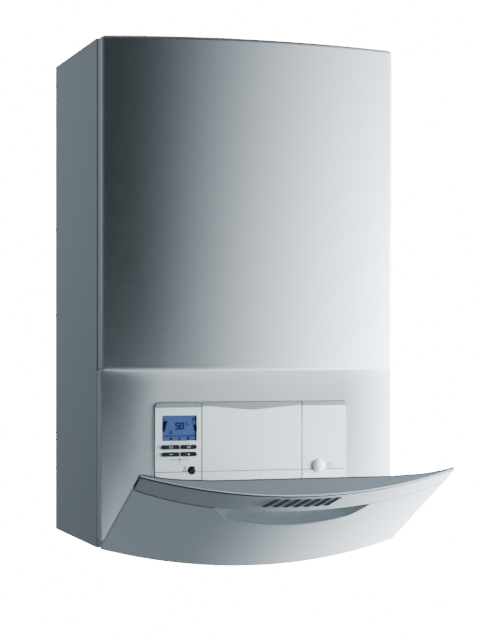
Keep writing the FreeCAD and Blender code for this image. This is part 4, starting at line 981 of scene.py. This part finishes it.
def digit(x, number):
    """Plain bars for a five or a nought."""
    width, height, stroke = DIGIT_SIZE
    half = width / 2
    rungs = {0: (0.0, 1.0), 5: (0.0, 0.5, 1.0)}[number]
    bars = [bar(x, DIGIT_H + height * level, width + stroke, stroke) for level in rungs]
    if number == 0:
        tall = height - stroke
        return bars + [bar(x + side * half, DIGIT_H + height / 2, stroke, tall) for side in (-1, 1)]
    tall = height / 2 - stroke
    posts = ((x - half, 0.75), (x + half, 0.25))
    return bars + [bar(post, DIGIT_H + height * level, stroke, tall) for post, level in posts]


def flat_marks(name, outlines, face_y, slot, body, tone, proud=MARK_PROUD):
    """Printed marks as one thin raised mesh."""
    points = []
    faces = []
    for outline in outlines:
        faces += skin_faces(len(outline), 2, start=len(points))
        for y in (face_y + MARK_ROOT, face_y - proud):
            points += [spot(x, y, h) for x, h in outline]
    dress(mesh_object(name, points, faces), body, slot, tone)


def gauge_marks():
    """Filled level gauge at the left, half filled at the right, each with a small sign above it."""
    x0, x1, _, top = SCREEN
    edge = 0.6
    low = top - 23.0
    high = top - 7.8
    half = (low + high) / 2 + 1.6
    return [
        [(x0 + edge, low), (x0 + 3.4, low), (x0 + 8.2, high), (x0 + edge, high)],
        [(x0 + 1.0, high + 1.2), (x0 + 3.2, high + 1.2), (x0 + 2.1, high + 4.8)],
        [(x1 - 3.1, low + 0.6), (x1 - edge, low + 0.6), (x1 - edge, half), (x1 - 5.4, half)],
        [(x1 - 5.4, half), (x1 - 4.9, half), (x1 - 6.6, high), (x1 - 7.2, high)],
        bar(x1 - 3.7, high + 0.2, 6.2, 0.5),
        bar(x1 - 3.8, high + 3.4, 5.2, 1.0),
        bar(x1 - 5.6, high + 2.2, 1.4, 2.6),
        bar(x1 - 2.2, high + 2.4, 1.2, 1.8),
    ]


def soft_key_marks():
    """Two tabs at the screen's lower edge, with small signs in and over them."""
    x0, x1, low, top = SCREEN
    tab = top - 29.0
    split = -108.6
    left = -121.2
    right = -95.7
    marks = [bar((x0 + split) / 2, tab, split - x0 - 2.4, 0.9)]
    marks.append(bar((x1 + split) / 2, tab, x1 - split - 2.4, 0.9))
    marks.append(bar(split, (tab + low) / 2, 1.5, tab - low - 1.0))
    marks += [bar(left, tab + 5.0 + 1.5 * k, 4.0, 0.95) for k in (-1, 0, 1)]
    marks += [bar(right, tab - 3.4 + 1.6 * k, 4.2, 1.05) for k in (-1, 0, 1)]
    marks.append([(left - 2.6, tab - 4.4), (left, tab - 1.6), (left + 3.0, tab - 5.0),
                  (left + 1.0, tab - 5.2)])
    return marks


def screen_pieces():
    x0, x1, h0, h1 = SCREEN
    glass_y = PANEL_FACE + GLASS_BACK
    outline = rounded_rect(x0 + GLASS_FIT, x1 - GLASS_FIT, h0 + GLASS_FIT, h1 - GLASS_FIT, GLASS_CORNER, 4)
    glass = pad("screen_glass", outline, PANEL_FACE + PANEL_DEEP + HOLE_OVER, glass_y, GLASS_ROUND)
    dress(glass, "casing", "screen", "screen", "display_glass")
    ink = digit(DIGIT_X[0], 5) + digit(DIGIT_X[1], 0) + gauge_marks() + soft_key_marks()
    flat_marks("screen_ink", ink, glass_y, "screen", "casing", "digit")
    unit = [bar(UNIT_X - 1.9, UNIT_H + 1.3, 1.3, 1.3), bar(UNIT_X, UNIT_H, 0.9, 3.6),
            bar(UNIT_X + 1.3, UNIT_H + 1.4, 2.2, 0.9), bar(UNIT_X + 1.3, UNIT_H - 1.5, 2.2, 0.9)]
    flat_marks("screen_faint", unit, glass_y, "screen", "casing", "faint")


def key_marks(key, x, h):
    if key == "upper_left_key":
        return [[(x - 2.7, h - 1.3), (x - 1.9, h - 1.3), (x - 1.9, h + 1.3), (x - 2.7, h + 1.3)],
                bar(x - 0.1, h + 1.1, 4.0, 0.6), bar(x - 0.1, h - 1.1, 3.0, 0.6),
                bar(x + 1.9, h + 0.2, 0.7, 2.0)]
    if key == "upper_right_key":
        return [bar(x - 2.0, h, 0.7, 2.2), bar(x + 1.6, h - 0.1, 0.7, 1.8), bar(x - 0.2, h - 1.2, 3.4, 0.6),
                [(x - 0.9, h - 0.1), (x - 0.4, h - 0.6), (x + 2.6, h + 1.7), (x + 2.1, h + 2.1)]]
    if key == "lower_left_key":
        return [bar(x, h, 4.2, 0.9)]
    return [bar(x, h, 3.2, 1.0), bar(x, h + 1.05, 1.0, 1.1), bar(x, h - 1.05, 1.0, 1.1)]


def key_pieces():
    front = PANEL_FACE - KEY_PROUD
    for key, (x0, x1, h) in KEYS.items():
        cap = pad(key + "_cap", key_path(x0, x1, h), PANEL_FACE + BUTTON_ROOT, front, KEY_ROUND)
        dress(cap, key, "dark_plastic", "black", "key_" + key.replace("_key", ""))
        x = KEY_SIGN_X[0] if x0 < x1 else KEY_SIGN_X[1]
        flat_marks(key + "_mark", key_marks(key, x, h), front, "white_plastic", key, "mark")


def panel_line():
    """Dark strips in the groove across the panel, broken at the joints and round the buttons: painted shade in the
    groove.
    """
    inner = SEAM_HALF - JOINT_HALF
    outer = SEAM_HALF + JOINT_HALF
    reset = RESET_R + 1.0
    power = POWER_R + 1.0
    spans = ((-PANEL_HALF, RESET_X - reset), (RESET_X + reset, -outer), (-inner, inner),
             (outer, POWER_X - power), (POWER_X + power, PANEL_HALF))
    seam = [bar((a + b) / 2, LINE_H, b - a - 1.0, 2 * LINE_HALF - 0.5) for a, b in spans]
    flat_marks("panel_seam", seam, PANEL_FACE + LINE_DEEP, "dark_plastic", "casing", "edge")


def bracket_marks():
    """Fine brackets over and under the keys, each broken by a small sign in the middle."""
    left, middle, right = BRACKET_X
    marks = []
    for h, tick in ((BRACKET_UPPER, -1), (BRACKET_LOWER, 1)):
        for a, b in ((left, middle - 3.0), (middle + 3.6, right)):
            marks.append(bar((a + b) / 2, h, b - a, BRACKET_LINE))
        for x in (left, right):
            marks.append(bar(x, h + tick * 0.9, BRACKET_LINE, 2.2))
    marks.append(bar(middle, BRACKET_UPPER - 0.2, 1.2, 2.2))
    h = BRACKET_LOWER
    pan = ((-2.4, 1.4), (-0.8, 2.8), (0.6, 0.4), (-0.8, -0.4))
    shaft = ((-1.4, -2.8), (-0.4, -3.2), (3.0, 1.4), (2.0, 2.0))
    return marks + [[(middle + x, h + y) for x, y in sign] for sign in (pan, shaft)]


def hourglass_marks(x, h):
    return [[(x - 2.1, h + 3.6), (x - 1.3, h + 3.6), (x + 0.9, h), (x, h - 0.4)],
            [(x + 1.3, h + 3.6), (x + 2.1, h + 3.6), (x, h - 0.4), (x - 0.9, h)],
            [(x - 0.5, h), (x + 0.5, h), (x + 2.2, h - 3.2), (x + 1.5, h - 3.2)],
            [(x - 0.5, h), (x - 1.5, h - 3.2), (x - 2.2, h - 3.2), (x - 0.9, h)],
            bar(x, h - 3.6, 4.4, 0.7), bar(x, h + 0.6, 1.6, 1.4)]


def panel_prints():
    """Brackets round the keys, the sign beside the reset button and the ring beside the power button."""
    ink = bracket_marks() + hourglass_marks(RESET_X - 10.6, RESET_H + 2.6)
    flat_marks("panel_print", ink, PANEL_FACE, "grey_plastic", "casing", "print", PRINT_PROUD)
    root = PANEL_FACE + 0.02
    front = PANEL_FACE - 0.05
    inner, outer = POWER_SIGN_R
    rings = []
    for radius, y in ((inner, root), (inner, front), (outer, front), (outer, root)):
        rings.append([spot(x, y, h) for x, h in circle(*POWER_SIGN, radius, 40)])
    dress(shade(layers("power_mark", rings, looped=True)), "casing", "grey_plastic", "print")


def domed(name, x, h, radius, y_front, dome):
    """Round button: straight skirt, rolled edge and a shallow dome."""
    rings = [[spot(a, PANEL_FACE + BUTTON_ROOT, b) for a, b in circle(x, h, radius)]]
    for i in range(6):
        turn = math.radians(90 * i / 5)
        r = radius - BUTTON_ROUND * (1 - math.cos(turn))
        y = y_front + dome + BUTTON_ROUND * (1 - math.sin(turn))
        rings.append([spot(a, y, b) for a, b in circle(x, h, r)])
    rim = radius - BUTTON_ROUND
    for i in range(1, 9):
        r = rim * (1 - i / 8.5)
        rings.append([spot(a, y_front + dome * (r / rim) ** 2, b) for a, b in circle(x, h, r)])
    return shade(layers(name, rings), 50)


def button_pieces():
    reset = domed("reset_cap", RESET_X, RESET_H, RESET_R, PANEL_FACE - KEY_PROUD, RESET_DOME)
    dress(reset, "reset", "dark_plastic", "gloss", "reset_button")
    power = domed("power_cap", POWER_X, POWER_H, POWER_R, PANEL_FACE - POWER_PROUD, POWER_DOME)
    dress(power, "power", "white_plastic", "moulded", "power_button")


# Floor, lights and camera, in metres and watts

COOL = (0.80, 0.91, 1.0)
COLD = (0.74, 0.88, 1.0)
FLOOR_Z = up(-1150.0)
FLOOR_Y = -0.3
KEY_PLACE = Vector((1.015, -0.231, up(140)))
KEY_AIM = Vector((-0.825, 0.565, 0.0))
KEY_SIDEWAYS = Vector((0.565, 0.825, 0.0))
KEY_WIDTH = 0.89
KEY_HEIGHT = 0.70
LOW_PLACE = (0.0, -0.5, up(-900))
LOW_AIM = (0.0, -0.45, up(0))
BACKDROP = 20.0
AMBIENT = 0.050
FLAP_PIECES = ("flap_", "band_", "grip_scoop", "hinge_boss", "trim_bar")
PANEL_PIECES = ("display_face", "centre_face", "switch_face", "strip_", "screen_", "panel_")
LID_PIECES = ["band_lid", "band_inner_edge"]
UNLIT_FLAP = ("flap_liner_skin", "grip_scoop", "band_groove", "band_joint")


def floor():
    """Pale round floor that shows in the picture but neither shades nor lights the part."""
    rings = []
    for radius, drop in ((0.02, 0.0), (0.8, 0.0), (2.0, 0.0), (2.2, 0.008)):
        rings.append([Vector((x, y, FLOOR_Z - drop)) for x, y in circle(0.0, FLOOR_Y, radius, 96)])
    base = shade(layers("studio_floor", rings), 60)
    pale = surface("floor_pale", (0.80, 0.80, 0.79), (0.5, 0.65), 0.02, 2.0, 300.0, 0.05)
    base.data.materials.append(pale)
    base.visible_diffuse = False
    base.visible_glossy = False
    base.visible_shadow = False


def sun(name, toward, strength, soft):
    """Sun that shines from the given direction."""
    light = bpy.data.lights.new(name, "SUN")
    light.energy = strength
    light.angle = math.radians(soft)
    lamp = bpy.data.objects.new(name, light)
    lamp.rotation_euler = Vector(toward).to_track_quat("Z", "Y").to_euler()
    bpy.context.scene.collection.objects.link(lamp)


def panel_light(name, place, aim, width, height, power, tint):
    light = bpy.data.lights.new(name, "AREA")
    light.shape = "RECTANGLE"
    light.size = width
    light.size_y = height
    light.energy = power
    light.color = tint
    lamp = bpy.data.objects.new(name, light)
    lamp.location = place
    lamp.rotation_euler = (Vector(place) - Vector(aim)).to_track_quat("Z", "Y").to_euler()
    lamp.visible_camera = False
    bpy.context.scene.collection.objects.link(lamp)
    return lamp


def from_side(azimuth, elevation):
    """Direction to a light, azimuth off the front axis to the right, in degrees."""
    a = math.radians(azimuth)
    e = math.radians(elevation)
    return math.sin(a) * math.cos(e), -math.cos(a) * math.cos(e), math.sin(e)


def lit_only(lamp, names, state="INCLUDE"):
    """Light the named pieces alone, or with EXCLUDE everything but them."""
    group = bpy.data.collections.new(lamp.name + "_pieces")
    lamp.light_linking.receiver_collection = group
    for name in names:
        group.objects.link(bpy.data.objects[name])
    for entry in group.collection_objects:
        entry.light_linking.link_state = state


def softbox(name, back, power, along=0.0, width=KEY_WIDTH):
    """Large soft light at the right; back moves it to the wall, along slides it in its own plane."""
    place = KEY_PLACE + Vector((0.0, back, 0.0)) + along * KEY_SIDEWAYS
    return panel_light(name, place, place + KEY_AIM, width, KEY_HEIGHT, power, COOL)


def studio():
    """Softboxes linked to groups of pieces, weak fill from left and below, suns for the other sides."""
    key = softbox("key_softbox", 0.0, 172)
    lower_key = softbox("lower_softbox", 0.08, 182)
    panel_key = softbox("panel_softbox", 0.0, 240)
    flap_key = softbox("flap_softbox", 0.12, 160, -0.157, 0.575)
    bpy.context.view_layer.update()
    flap_key.matrix_world = swing() @ flap_key.matrix_world
    lid_light = panel_light("lid_softbox", (1.2, -1.2, up(600)), (0.0, -0.5, up(119)), 0.4, 0.4, 15, COLD)
    pieces = [obj.name for obj in bpy.data.objects if obj.type == "MESH"]
    flap = [name for name in pieces if name.startswith(FLAP_PIECES) and name not in LID_PIECES]
    panel = [name for name in pieces if name.startswith(PANEL_PIECES) or name.endswith(("_cap", "_mark"))]
    unlit = ["side_sheet_right", "roof_sheet", "cover_lower"]
    lit_only(key, unlit + LID_PIECES + flap + panel, "EXCLUDE")
    lit_only(lower_key, ["cover_lower"])
    lit_only(panel_key, panel)
    lit_only(flap_key, [name for name in flap if name not in UNLIT_FLAP])
    lit_only(lid_light, LID_PIECES + ["band_rim"])
    front_light = panel_light("front_low_softbox", LOW_PLACE, LOW_AIM, 1.2, 1.2, 2.6, COLD)
    lit_only(front_light, ["flap_front"])
    grip_place = (0.35, -1.2, up(-700))
    grip_light = panel_light("grip_softbox", grip_place, (0.0, -0.45, up(100)), 0.5, 0.5, 6, COOL)
    lit_only(grip_light, ["grip_scoop"])
    panel_light("left_softbox", (-1.6, 0.7, up(850)), (-0.22, -0.1, up(500)), 1.0, 1.0, 8.8, COLD)
    panel_light("low_softbox", LOW_PLACE, LOW_AIM, 1.2, 1.2, 2.3, COLD)
    sun("right_sun", from_side(125, 30), 1.6, 12)
    sun("top_sun", (0.0, 0.05, 1.0), 0.7, 10)
    sun("back_sun", from_side(170, 25), 1.4, 15)


def backdrop():
    """White to the camera, a weak cold ambient light to everything else."""
    world = bpy.data.worlds.new("studio_world")
    bpy.context.scene.world = world
    world.use_nodes = True
    tree = world.node_tree
    tree.nodes.clear()
    path = tree.nodes.new("ShaderNodeLightPath")
    seen = tree.nodes.new("ShaderNodeBackground")
    seen.inputs["Color"].default_value = (1.0, 1.0, 1.0, 1.0)
    seen.inputs["Strength"].default_value = BACKDROP
    ambient = tree.nodes.new("ShaderNodeBackground")
    ambient.inputs["Color"].default_value = COLD + (1.0,)
    ambient.inputs["Strength"].default_value = AMBIENT
    mix = tree.nodes.new("ShaderNodeMixShader")
    out = tree.nodes.new("ShaderNodeOutputWorld")
    tree.links.new(path.outputs["Is Camera Ray"], mix.inputs["Fac"])
    tree.links.new(ambient.outputs["Background"], mix.inputs[1])
    tree.links.new(seen.outputs["Background"], mix.inputs[2])
    tree.links.new(mix.outputs["Shader"], out.inputs["Surface"])


def camera():
    """Level camera at the photograph's angle; the small sideways shift keeps upright edges clean."""
    lens = bpy.data.cameras.new("view")
    lens.sensor_width = 36.0
    lens.lens = 99.2
    lens.shift_x = -0.0005
    lens.shift_y = 0.039
    eye = bpy.data.objects.new("view", lens)
    eye.location = (-0.8007, -2.704, up(286.5))
    eye.rotation_euler = (math.radians(90), 0.0, math.radians(-18.1))
    bpy.context.scene.collection.objects.link(eye)
    bpy.context.scene.camera = eye


casing_pieces()
flap_pieces()
panel_pieces()
floor()
studio()
backdrop()
camera()
